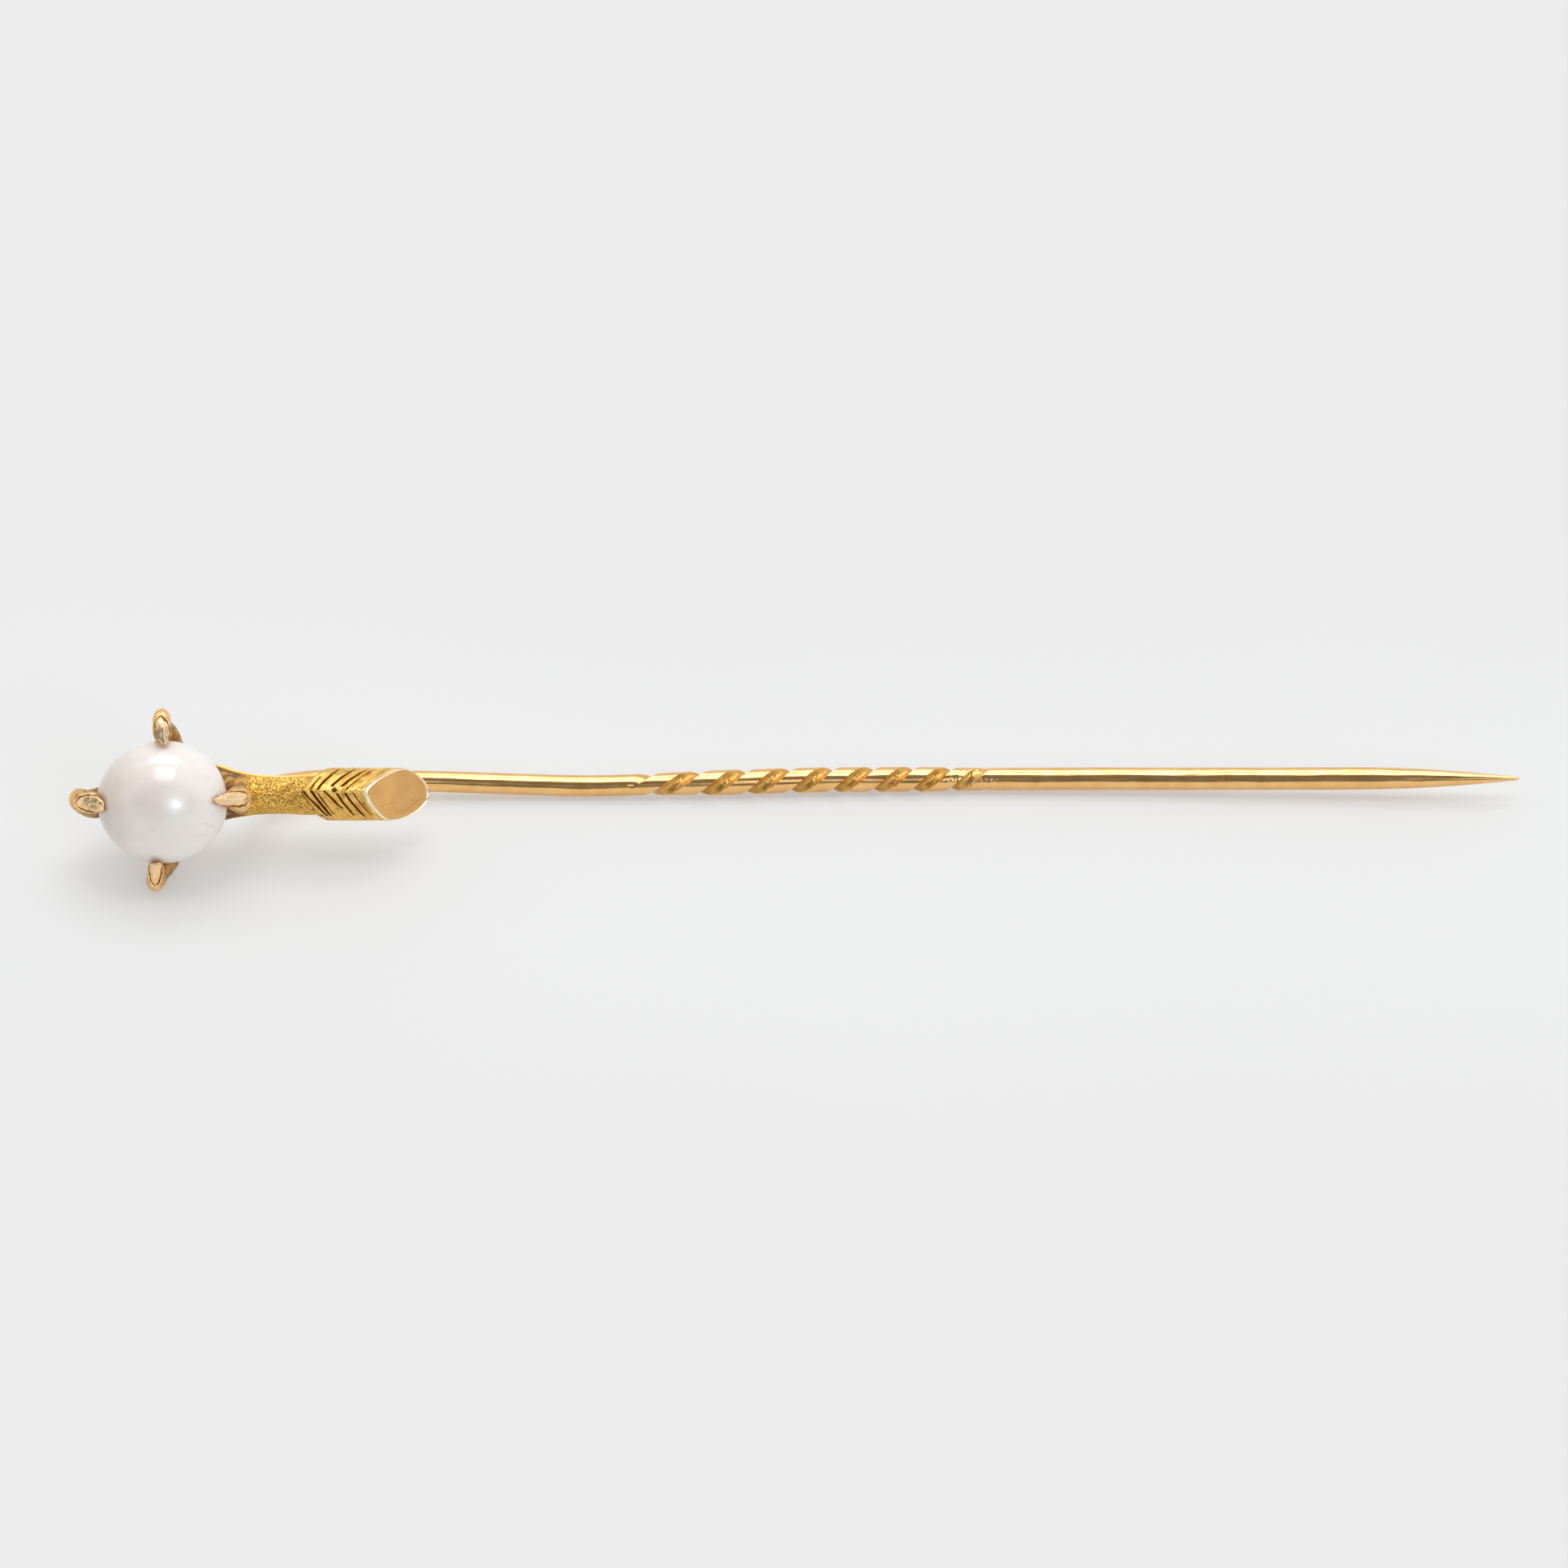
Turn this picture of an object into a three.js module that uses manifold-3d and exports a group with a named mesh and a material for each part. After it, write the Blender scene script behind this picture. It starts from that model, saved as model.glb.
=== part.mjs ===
// A hat pin: a bird's claw that grips a pearl, on a twisted wire stem.
// Millimetres, +Z up. The pin lies at rest on a table, its stem along +X with the point at the far end.
import * as THREE from "three";
import { mergeVertices } from "three/addons/utils/BufferGeometryUtils.js";
import Module from "manifold-3d";

const wasm = await Module();
wasm.setup();

// ---- Driving dimensions -------------------------------------------------------------------------

// The head's frame has its origin at the pearl's centre: x along the pin, y sideways, z to the pearl's front.
const HEAD_HEIGHT = 4.0; // of the pearl's centre over the table
const HEAD_OFFSET = 7.13; // of the pearl's centre from the stem's line, seen from above
const HEAD_ROLL = THREE.MathUtils.degToRad(63.7); // about the pin's length, from lying face up

const PEARL_LENGTH = 6.27;
const PEARL_WIDTH = 5.92;
const PEG_RADIUS = 0.32;
const PEG_HOLE_RADIUS = 0.38;
const PEG_HOLE_DEPTH = 2.6;
const PEG_INNER_END = PEARL_WIDTH / 2 - PEG_HOLE_DEPTH + 0.1; // just off the hole's floor
const PEG_OUTER_END = 4.0;
const FIT = 0.03; // clearance between pieces that touch
const THROUGH = 2; // how far a cutting tool runs past what it cuts

const PALM_LEAN = THREE.MathUtils.degToRad(12); // of the palm's middle towards the stem, seen from the pearl
const PALM_PAD_SIZE = [2.1, 1.95, 1.2];
const PALM_PAD_PLACE = [0.75, 0.05, -2.95];
const TOE_HALF_THICKNESS = 0.52;
const TOE_STAND_OFF = 0.06; // between a toe and the pearl

// Each toe runs from the palm round the pearl to its knuckle, and its talon hooks on to the tip.
const TOES = {
  upper: {
    knuckle: [-0.02, 4.02, 0.12],
    root: [-0.02, 3.7, 0.66],
    tip: [0.05, 2.85, 1.2],
    halfWidth: 0.45,
  },
  front: {
    knuckle: [-4.0, 0.1, 0.1],
    root: [-3.72, 0.1, 0.68],
    tip: [-2.78, 0.08, 1.5],
    halfWidth: 0.58,
  },
  lower: {
    knuckle: [-0.33, -3.82, 0.1],
    root: [-0.31, -3.56, 0.62],
    tip: [-0.28, -2.68, 1.48],
    halfWidth: 0.47,
  },
  hind: {
    knuckle: [3.74, 0.08, 0.0],
    root: [3.5, 0.2, 0.72],
    tip: [2.48, 0.3, 1.92],
    halfWidth: 0.58,
  },
};
const TOE_ARC_SHARES = [0.3, 0.55, 0.8, 1]; // of the way from the palm's middle to the knuckle's underside
const KNUCKLE_UNDERSIDE = -0.9;
const TOE_TAPER = 0.18; // of a toe's size, over the last part of its length
const TOE_TAPER_START = 0.85;
const HIND_TOE_FOOT = [3.45, 0.08, -1.72]; // the hind toe springs from the front of the shank
const HIND_TOE_BEND = [3.74, 0.08, -0.9];
const TALON_HALF_WIDTH = 0.37;
const TALON_HALF_THICKNESS = 0.22;
const TALON_ARCH = 1.03; // how far the talon's middle bows out from the pearl
const TALON_POINTING = 0.94; // 0 is a blunt end, 1 is a sharp point
const TALON_THINNING = 0.6; // of its thickness, by the tip

// Stations along the shank's axis: place along the pin, depth behind the pearl, half width, half depth.
const LEG_SIDE = 0.09; // of the shank's axis from the pearl's middle
const PALM_END = 2.75;
const SHANK_START = 2.78;
const PALM_NECK = [
  [0.4, -3.42, 1.5, 0.6],
  [1.4, -3.2, 1.5, 0.8],
  [2.15, -2.93, 1.43, 0.98],
  [PALM_END, -2.69, 1.31, 1.08],
];
const SHANK = [
  [SHANK_START, -2.67, 1.3, 1.08],
  [3.13, -2.5, 1.2, 1.08],
  [3.73, -2.29, 1.05, 1.02],
  [4.53, -2.18, 0.92, 0.96],
  [5.33, -2.15, 0.88, 0.93],
  [6.13, -2.15, 0.88, 0.93],
  [6.59, -2.15, 0.9, 0.94],
  [6.61, -2.15, 0.8, 0.84],
  [7.58, -2.15, 0.8, 0.84],
];
const SHANK_WALL = 0.3;

const CUFF_START = 6.63;
const CUFF_AXIS_SIDE = 0.12;
const CUFF_AXIS_DEPTH = -2.15;
const CUFF_HALF_WIDTH = 1.27;
const CUFF_HALF_DEPTH = 1.3;
const CUFF_WALL = 0.22;
const CUFF_ROLL = THREE.MathUtils.degToRad(15); // turns the front ridge sideways
const CUFF_FRONT_EXPONENT = 1.45; // of the cuff's outline: 1 is a sharp diamond, 2 is an ellipse
const CUFF_BACK_EXPONENT = 1.8;
const CUT_FRONT = 9.7; // where the oblique cut meets the front ridge
const CUT_BACK = 12.8; // where it meets the back ridge
const PLATE_THICKNESS = 0.3;

const STEM_RADIUS = 0.51; // above the twist
const SWELL_LEAD = 1; // the wire starts to swell this far above the twist
const SWELL_LENGTH = 5;
const NARROWING_LENGTH = 3; // at the twist's end
const TWIST_RADIUS = 0.6;
const SHAFT_RADIUS = 0.545; // below the twist
const TWIST_START = 23.43;
const TWIST_END = 39.03;
const TWIST_FIRST_GROOVE = 24.57; // where the first groove faces the front
const TWIST_HALF_PITCH = 2.35; // from the first groove to the next: the wire has two
const TWIST_TIGHTENING = 0.0048; // half turns per square millimetre: the twist is closer towards its end
const TWIST_RUN_IN = 1.2;
const GROOVE_DEPTH = 0.24;
const GROOVE_HALF_ANGLE = THREE.MathUtils.degToRad(42);
const TAPER_START = 57.03;
const TIP = 65.29;
const TIP_RADIUS = 0.1;

// The wire leaves the back of the shank, swings back in a swan neck and then lies on the table, with its
// point lifted a little. The first points are in the head's frame, the others over the table.
const SWAN_NECK = [
  [3.78, 0.09, -3.63],
  [4.53, 0.09, -4.52],
  [5.33, 0.1, -5.67],
  [6.18, 0.12, -6.77],
  [7.33, 0.15, -7.5],
];
const LYING_WIRE = [
  [9.73, -0.35, 0.84],
  [12.73, -0.3, 0.74],
  [17.43, -0.32, 0.58],
  [20.23, -0.36, 0.52],
  [23.33, -0.33, 0.58],
  [27.23, -0.18, 0.61],
  [31.13, 0.02, 0.61],
  [39.03, 0.18, 0.56],
  [44.83, 0.1, 0.63],
  [50.73, -0.09, 0.75],
  [58.53, -0.34, 0.93],
  [TIP, -0.72, 1.17],
];
const SOLDER_SIZE = [0.95, 0.8, 0.45];
const SOLDER_PLACE = [4.08, 0.09, -3.42];

// The number of sides of each round form, and the spacing of the stem's sections.
const PEARL_SIDES = 32;
const PEARL_RINGS = 20;
const PAD_SIDES = 24;
const PAD_RINGS = 16;
const PEG_SIDES = 16;
const TOE_SIDES = 14;
const TOE_STEPS = 16;
const TALON_SIDES = 12;
const TALON_STEPS = 6;
const TUBE_SIDES = 20;
const SHELL_STEPS = 10;
const CUFF_SIDES = 24;
const STEM_SIDES = 20;
const STEM_ARC_DIVISIONS = 2000;
const TWIST_STEP = 0.25;
const BEND_STEP = 0.5;
const PLAIN_STEP = 2.2;
const TAPER_STEP = 1;
const BEND_END = 10;

// ---- Colours ------------------------------------------------------------------------------------

const yellowGold = new THREE.MeshStandardMaterial({ color: 0xd9a441, roughness: 0.25, metalness: 1 });
const grainedGold = new THREE.MeshStandardMaterial({ color: 0xc99a2e, roughness: 0.6, metalness: 1 });
const roseGold = new THREE.MeshStandardMaterial({ color: 0xdfa47a, roughness: 0.35, metalness: 1 });
const satinGold = new THREE.MeshStandardMaterial({ color: 0xcf9f5c, roughness: 0.4, metalness: 1 });
const solderGold = new THREE.MeshStandardMaterial({ color: 0xc0955a, roughness: 0.5, metalness: 1 });
const nacre = new THREE.MeshStandardMaterial({ color: 0xe6dfda, roughness: 0.25, metalness: 0 });

// ---- Geometry helpers ---------------------------------------------------------------------------

const FORWARD = new THREE.Vector3(1, 0, 0);
const FRONT = new THREE.Vector3(0, 0, 1);
const ORIGIN = new THREE.Vector2();

function vector([x, y, z]) {
  return new THREE.Vector3(x, y, z);
}

// Triangles that fill a flat outline, wound anticlockwise.
function fill(outline) {
  return THREE.ShapeUtils.triangulateShape(outline, []).map(([a, b, c]) => {
    const ab = outline[b].clone().sub(outline[a]);
    const ac = outline[c].clone().sub(outline[a]);
    return ab.cross(ac) > 0 ? [a, b, c] : [a, c, b];
  });
}

// A closed body through stations { at, along, up, outline }: each outline is flat, anticlockwise round the
// direction along, with its second axis towards up, and all have the same number of points.
function loft(stations) {
  const count = stations[0].outline.length;
  const positions = [];
  for (const { at, along, up, outline } of stations) {
    const second = up.clone().addScaledVector(along, -up.dot(along)).normalize();
    const first = second.clone().cross(along);
    for (const point of outline) {
      const p = at.clone().addScaledVector(first, point.x).addScaledVector(second, point.y);
      positions.push(p.x, p.y, p.z);
    }
  }
  const index = [];
  for (let ring = 0; ring < stations.length - 1; ring += 1) {
    for (let i = 0; i < count; i += 1) {
      const a = ring * count + i;
      const b = ring * count + ((i + 1) % count);
      index.push(a, b, b + count, a, b + count, a + count);
    }
  }
  const last = (stations.length - 1) * count;
  for (const [a, b, c] of fill(stations[0].outline)) {
    index.push(a, c, b);
  }
  for (const [a, b, c] of fill(stations[stations.length - 1].outline)) {
    index.push(last + a, last + b, last + c);
  }
  const geometry = new THREE.BufferGeometry();
  geometry.setAttribute("position", new THREE.Float32BufferAttribute(positions, 3));
  geometry.setIndex(index);
  return geometry;
}

function ellipse(halfWidth, halfHeight, sides) {
  return Array.from({ length: sides }, (_, i) => {
    const angle = (2 * Math.PI * i) / sides;
    return new THREE.Vector2(halfWidth * Math.cos(angle), halfHeight * Math.sin(angle));
  });
}

// Half of a hollow ellipse, on the front side (sign 1) or the back side (sign -1), with a seam gap.
function halfShell(halfWidth, halfHeight, wall, sign, steps) {
  const outline = [];
  for (const [inset, order] of [[0, 1], [wall, -1]]) {
    for (let i = 0; i <= steps; i += 1) {
      const turn = order > 0 ? i : steps - i;
      const angle = (Math.PI * turn) / steps;
      const x = (halfWidth - inset) * Math.cos(angle);
      const y = FIT / 2 + (halfHeight - inset - FIT / 2) * Math.sin(angle);
      outline.push(new THREE.Vector2(sign * x, sign * y));
    }
  }
  return outline;
}

// A body with elliptical sections along a smooth curve. sizeAt(t) gives [half width, half thickness].
function limb(points, sizeAt, upAt, steps, sides) {
  const curve = new THREE.CatmullRomCurve3(points);
  return loft(
    Array.from({ length: steps + 1 }, (_, i) => {
      const t = i / steps;
      const at = curve.getPointAt(t);
      const [halfWidth, halfThickness] = sizeAt(t);
      return {
        at,
        along: curve.getTangentAt(t),
        up: upAt(at),
        outline: ellipse(halfWidth, halfThickness, sides),
      };
    }),
  );
}

// ---- Joining and cutting ------------------------------------------------------------------------

function toSolid(geometry) {
  const bare = geometry.clone();
  bare.deleteAttribute("normal");
  bare.deleteAttribute("uv");
  const merged = mergeVertices(bare, 1e-4);
  return new wasm.Manifold(
    new wasm.Mesh({
      numProp: 3,
      vertProperties: merged.attributes.position.array,
      triVerts: new Uint32Array(merged.index.array),
    }),
  );
}

function toGeometry(solid) {
  const { numProp, vertProperties, triVerts } = solid.getMesh();
  const geometry = new THREE.BufferGeometry();
  const positions = new Float32Array((vertProperties.length / numProp) * 3);
  for (let i = 0; i < positions.length / 3; i += 1) {
    positions.set(vertProperties.subarray(i * numProp, i * numProp + 3), i * 3);
  }
  geometry.setAttribute("position", new THREE.BufferAttribute(positions, 3));
  geometry.setIndex(new THREE.BufferAttribute(triVerts, 1));
  return geometry;
}

function join(first, ...others) {
  return toGeometry(others.reduce((body, other) => body.add(toSolid(other)), toSolid(first)));
}

function cut(body, ...tools) {
  return toGeometry(tools.reduce((rest, tool) => rest.subtract(toSolid(tool)), toSolid(body)));
}

// ---- The pearl and its peg ----------------------------------------------------------------------

const palmDirection = new THREE.Vector3(Math.sin(PALM_LEAN), 0, -Math.cos(PALM_LEAN));

// An ellipsoid of the pearl's size, larger all round by grow.
function pearlForm(grow) {
  const ball = new THREE.SphereGeometry(1, PEARL_SIDES, PEARL_RINGS);
  return ball.scale(PEARL_LENGTH / 2 + grow, PEARL_WIDTH / 2 + grow, PEARL_WIDTH / 2 + grow);
}

// A round bar along the palm's direction, from one distance from the pearl's centre to another.
function bar(radius, from, to) {
  const geometry = new THREE.CylinderGeometry(radius, radius, to - from, PEG_SIDES);
  geometry.translate(0, (from + to) / 2, 0);
  const turn = new THREE.Quaternion().setFromUnitVectors(new THREE.Vector3(0, 1, 0), palmDirection);
  return geometry.applyQuaternion(turn);
}

function pearlGeometry() {
  const hole = bar(PEG_HOLE_RADIUS, PEARL_WIDTH / 2 - PEG_HOLE_DEPTH, PEARL_WIDTH);
  return cut(pearlForm(0), hole);
}

function pegGeometry(grow) {
  return bar(PEG_RADIUS + grow, PEG_INNER_END - grow, PEG_OUTER_END + grow);
}

// ---- Toes and talons ----------------------------------------------------------------------------

// The point over the pearl's surface in a direction, at a height above it.
function overPearl(direction, height) {
  const d = direction.clone().normalize();
  const halfSize = new THREE.Vector3(PEARL_LENGTH / 2, PEARL_WIDTH / 2, PEARL_WIDTH / 2);
  const scaled = d.clone().divide(halfSize);
  return d.multiplyScalar(1 / scaled.length() + height);
}

function toePath(toe, name) {
  const knuckle = vector(toe.knuckle);
  const root = vector(toe.root);
  if (name === "hind") {
    return [vector(HIND_TOE_FOOT), vector(HIND_TOE_BEND), knuckle, root];
  }
  const underside = knuckle.clone().setZ(KNUCKLE_UNDERSIDE).normalize();
  const height = TOE_STAND_OFF + TOE_HALF_THICKNESS;
  const arc = TOE_ARC_SHARES.map((share) => {
    const direction = palmDirection.clone().lerp(underside, share);
    return overPearl(direction, height);
  });
  return [...arc, knuckle, root];
}

function toeGeometry(name, grow) {
  const toe = TOES[name];
  const sizeAt = (t) => {
    const end = 1 - TOE_TAPER * Math.max(0, (t - TOE_TAPER_START) / (1 - TOE_TAPER_START));
    return [toe.halfWidth * end + grow, TOE_HALF_THICKNESS * end + grow];
  };
  const outwards = (at) => at.clone().normalize();
  return limb(toePath(toe, name), sizeAt, outwards, TOE_STEPS, TOE_SIDES);
}

function talonGeometry(name) {
  const toe = TOES[name];
  const path = toePath(toe, name);
  const root = path[path.length - 1];
  const heading = root.clone().sub(path[path.length - 2]).normalize();
  const start = root.clone().addScaledVector(heading, FIT);
  const tip = vector(toe.tip);
  const middle = start.clone().lerp(tip, 0.5).multiplyScalar(TALON_ARCH);
  const sizeAt = (t) => {
    const width = TALON_HALF_WIDTH * Math.sqrt(1 - TALON_POINTING * t * t);
    return [width, TALON_HALF_THICKNESS * (1 - TALON_THINNING * t)];
  };
  const outwards = (at) => at.clone().normalize();
  return limb([start, middle, tip], sizeAt, outwards, TALON_STEPS, TALON_SIDES);
}

// ---- Palm, shank and cuff -----------------------------------------------------------------------

// The palm's neck and the shank meet at a square joint, and the other sections turn with the axis.
function tubeStations(rows, outlineOf) {
  const points = rows.map(([x, z]) => new THREE.Vector3(x, LEG_SIDE, z));
  return rows.map(([x, , halfWidth, halfDepth], i) => {
    const before = points[Math.max(0, i - 1)];
    const after = points[Math.min(points.length - 1, i + 1)];
    const isJoint = x === PALM_END || x === SHANK_START;
    return {
      at: points[i],
      along: isJoint ? FORWARD : after.clone().sub(before).normalize(),
      up: FRONT,
      outline: outlineOf(halfWidth, halfDepth),
    };
  });
}

function palmGeometry() {
  const pad = new THREE.SphereGeometry(1, PAD_SIDES, PAD_RINGS);
  pad.scale(...PALM_PAD_SIZE).translate(...PALM_PAD_PLACE);
  const neck = loft(tubeStations(PALM_NECK, (w, d) => ellipse(w, d, TUBE_SIDES)));
  const toes = Object.keys(TOES).map((name) => toeGeometry(name, FIT));
  return cut(join(pad, neck), pearlForm(FIT), pegGeometry(FIT), ...toes);
}

function shankShell(sign) {
  const rows = tubeStations(SHANK, (w, d) => halfShell(w, d, SHANK_WALL, sign, SHELL_STEPS));
  return cut(loft(rows), toeGeometry("hind", FIT));
}

function diamond(inset) {
  return Array.from({ length: CUFF_SIDES }, (_, i) => {
    const angle = (2 * Math.PI * i) / CUFF_SIDES;
    const c = Math.cos(angle);
    const s = Math.sin(angle);
    const exponent = 2 / (s > 0 ? CUFF_FRONT_EXPONENT : CUFF_BACK_EXPONENT);
    const x = (CUFF_HALF_WIDTH - inset) * Math.sign(c) * Math.abs(c) ** exponent;
    const y = (CUFF_HALF_DEPTH - inset) * Math.sign(s) * Math.abs(s) ** exponent;
    return new THREE.Vector2(x, y).rotateAround(ORIGIN, -CUFF_ROLL);
  });
}

// The prism of the cuff's outline, between two planes parallel to the cut, or from a square start.
function cuffPrism(inset, start, endShift, oblique) {
  const slope = (CUT_BACK - CUT_FRONT) / (2 * CUFF_HALF_DEPTH);
  const middle = (CUT_FRONT + CUT_BACK) / 2 + endShift;
  const outline = diamond(inset);
  const station = (x) => ({
    at: new THREE.Vector3(x, CUFF_AXIS_SIDE, CUFF_AXIS_DEPTH),
    along: FORWARD,
    up: FRONT,
    outline,
  });
  const geometry = loft([station(start), station(middle)]);
  const position = geometry.getAttribute("position");
  for (let i = 0; i < position.count; i += 1) {
    const isEnd = i >= outline.length;
    if (isEnd || oblique) {
      position.setX(i, position.getX(i) - slope * (position.getZ(i) - CUFF_AXIS_DEPTH));
    }
  }
  return geometry;
}

function cuffGeometry() {
  const inside = cuffPrism(CUFF_WALL, CUFF_START - THROUGH, THROUGH, false);
  return cut(cuffPrism(0, CUFF_START, 0, false), inside);
}

function plateGeometry() {
  const start = (CUT_FRONT + CUT_BACK) / 2 - PLATE_THICKNESS;
  return cuffPrism(CUFF_WALL + FIT, start, 0, true);
}

// ---- The stem -----------------------------------------------------------------------------------

const head = new THREE.Group();
head.rotation.x = HEAD_ROLL;
head.position.set(0, -HEAD_OFFSET, HEAD_HEIGHT);
head.updateMatrixWorld(true);

// The stem's middle line, in the head's frame.
function stemCurve() {
  const neck = SWAN_NECK.map(vector);
  const lying = LYING_WIRE.map((point) => head.worldToLocal(vector(point)));
  return new THREE.CatmullRomCurve3([...neck, ...lying], false, "centripetal");
}

function stemRadius(x) {
  const { lerp, smoothstep } = THREE.MathUtils;
  if (x > TAPER_START) {
    const t = (x - TAPER_START) / (TIP - TAPER_START);
    return lerp(SHAFT_RADIUS, TIP_RADIUS, t * t);
  }
  const swellStart = TWIST_START - SWELL_LEAD;
  const upper = lerp(STEM_RADIUS, TWIST_RADIUS, smoothstep(x, swellStart, swellStart + SWELL_LENGTH));
  return lerp(upper, SHAFT_RADIUS, smoothstep(x, TWIST_END - NARROWING_LENGTH, TWIST_END));
}

// How far the twist has turned at a place along the stem: a groove faces this angle.
function twistAngle(x) {
  const place = THREE.MathUtils.clamp(x, TWIST_START - TWIST_RUN_IN, TWIST_END + TWIST_RUN_IN);
  const beyond = place - TWIST_FIRST_GROOVE;
  const halfTurns = beyond / TWIST_HALF_PITCH + TWIST_TIGHTENING * beyond * beyond;
  return Math.PI / 2 - Math.PI * halfTurns;
}

// The stem's section, whose points turn with the twist: round, with two opposite grooves where it is cut.
function stemOutline(x, grow) {
  const { smoothstep } = THREE.MathUtils;
  const radius = stemRadius(x) + grow;
  const runIn = smoothstep(x, TWIST_START - TWIST_RUN_IN, TWIST_START + TWIST_RUN_IN);
  const runOut = 1 - smoothstep(x, TWIST_END - TWIST_RUN_IN, TWIST_END + TWIST_RUN_IN);
  return ellipse(1, 1, STEM_SIDES).map((point) => {
    const off = Math.abs(Math.asin(THREE.MathUtils.clamp(point.y, -1, 1)));
    const groove = off < GROOVE_HALF_ANGLE ? Math.cos((off / GROOVE_HALF_ANGLE) * (Math.PI / 2)) : 0;
    const distance = radius - GROOVE_DEPTH * groove * runIn * runOut;
    return point.multiplyScalar(distance).rotateAround(ORIGIN, twistAngle(x));
  });
}

// The spacing of the stem's sections: close in the twist and the bend, wide where the wire is plain.
function stemStep(x) {
  if (x > TWIST_START - TWIST_RUN_IN && x < TWIST_END + TWIST_RUN_IN) {
    return TWIST_STEP;
  }
  if (x < BEND_END) {
    return BEND_STEP;
  }
  return x > TAPER_START ? TAPER_STEP : PLAIN_STEP;
}

function stemGeometry(grow) {
  const curve = stemCurve();
  curve.arcLengthDivisions = STEM_ARC_DIVISIONS;
  const length = curve.getLength();
  const stations = [];
  let distance = 0;
  while (distance < length) {
    const t = distance / length;
    const at = curve.getPointAt(t);
    stations.push({ at, along: curve.getTangentAt(t), up: FRONT, outline: stemOutline(at.x, grow) });
    distance += stemStep(at.x);
  }
  const end = curve.getPointAt(1);
  stations.push({ at: end, along: curve.getTangentAt(1), up: FRONT, outline: stemOutline(TIP, grow) });
  return loft(stations);
}

// The fillet of solder round the wire's upper end.
function solderGeometry() {
  const blob = new THREE.SphereGeometry(1, PAD_SIDES, PAD_RINGS);
  blob.scale(...SOLDER_SIZE).translate(...SOLDER_PLACE);
  const shank = loft(tubeStations(SHANK, (w, d) => ellipse(w + FIT, d + FIT, TUBE_SIDES)));
  return cut(blob, shank, stemGeometry(FIT));
}

// ---- Assembly -----------------------------------------------------------------------------------

function add(name, geometry, material) {
  const mesh = new THREE.Mesh(geometry, material);
  mesh.name = name;
  head.add(mesh);
}

add("pearl", pearlGeometry(), nacre);
add("pearl_peg", pegGeometry(0), yellowGold);
add("foot_palm", palmGeometry(), yellowGold);
for (const name of Object.keys(TOES)) {
  add(`toe_${name}`, toeGeometry(name, 0), yellowGold);
  add(`talon_${name}`, talonGeometry(name), roseGold);
}
add("leg_front_shell", shankShell(1), grainedGold);
add("leg_back_shell", shankShell(-1), grainedGold);
add("feather_cuff", cuffGeometry(), yellowGold);
add("cut_end_plate", plateGeometry(), satinGold);
add("stem", stemGeometry(0), yellowGold);
add("stem_solder", solderGeometry(), solderGold);

// The origin is on the table, under the middle of the pin's box.
const pin = new THREE.Group();
pin.add(head);
pin.updateMatrixWorld(true);
const box = new THREE.Box3().setFromObject(pin, true);
const middle = box.getCenter(new THREE.Vector3());
pin.position.set(-middle.x, -middle.y, -box.min.z);

const hatPin = new THREE.Group();
hatPin.add(pin);

export default hatPin;
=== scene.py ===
"""A gold hat pin lying on a pale table: a bird's claw that grips a pearl, on a twisted wire stem."""
import math

import bpy
import numpy as np
from mathutils import Matrix, Vector


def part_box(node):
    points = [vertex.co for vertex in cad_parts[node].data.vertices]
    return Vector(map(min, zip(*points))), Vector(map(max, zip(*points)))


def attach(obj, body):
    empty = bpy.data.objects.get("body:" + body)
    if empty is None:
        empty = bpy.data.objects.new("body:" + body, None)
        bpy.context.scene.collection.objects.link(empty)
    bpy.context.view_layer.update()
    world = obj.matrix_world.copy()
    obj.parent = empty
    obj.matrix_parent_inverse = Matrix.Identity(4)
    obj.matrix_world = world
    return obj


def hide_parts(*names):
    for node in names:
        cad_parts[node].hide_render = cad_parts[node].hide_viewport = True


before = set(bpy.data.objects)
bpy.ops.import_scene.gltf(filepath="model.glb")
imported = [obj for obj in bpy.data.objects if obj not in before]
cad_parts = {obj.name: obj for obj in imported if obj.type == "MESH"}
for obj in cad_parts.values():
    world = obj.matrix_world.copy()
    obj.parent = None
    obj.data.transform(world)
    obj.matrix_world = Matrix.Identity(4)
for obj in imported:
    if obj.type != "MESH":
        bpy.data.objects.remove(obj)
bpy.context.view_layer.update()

MM = 0.001

# ---- Places and sizes, in millimetres ----
# The head's frame has its origin at the pearl's centre: x along the pin, y sideways, z to the pearl's front.

HEAD_TURN = np.array(Matrix.Rotation(math.radians(63.7), 3, "X"))
PEARL_CENTRE = np.mean(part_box("pearl"), axis=0) / MM
PEARL_LENGTH = 6.27
PEARL_WIDTH = 5.92
PALM_LEAN = math.radians(12)  # of the direction from the pearl's centre to the palm
PEG_HOLE_RADIUS = 0.38
PEG_HOLE_DEPTH = 2.6
TOE_STAND_OFF = 0.58  # of a toe's middle over the pearl

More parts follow.
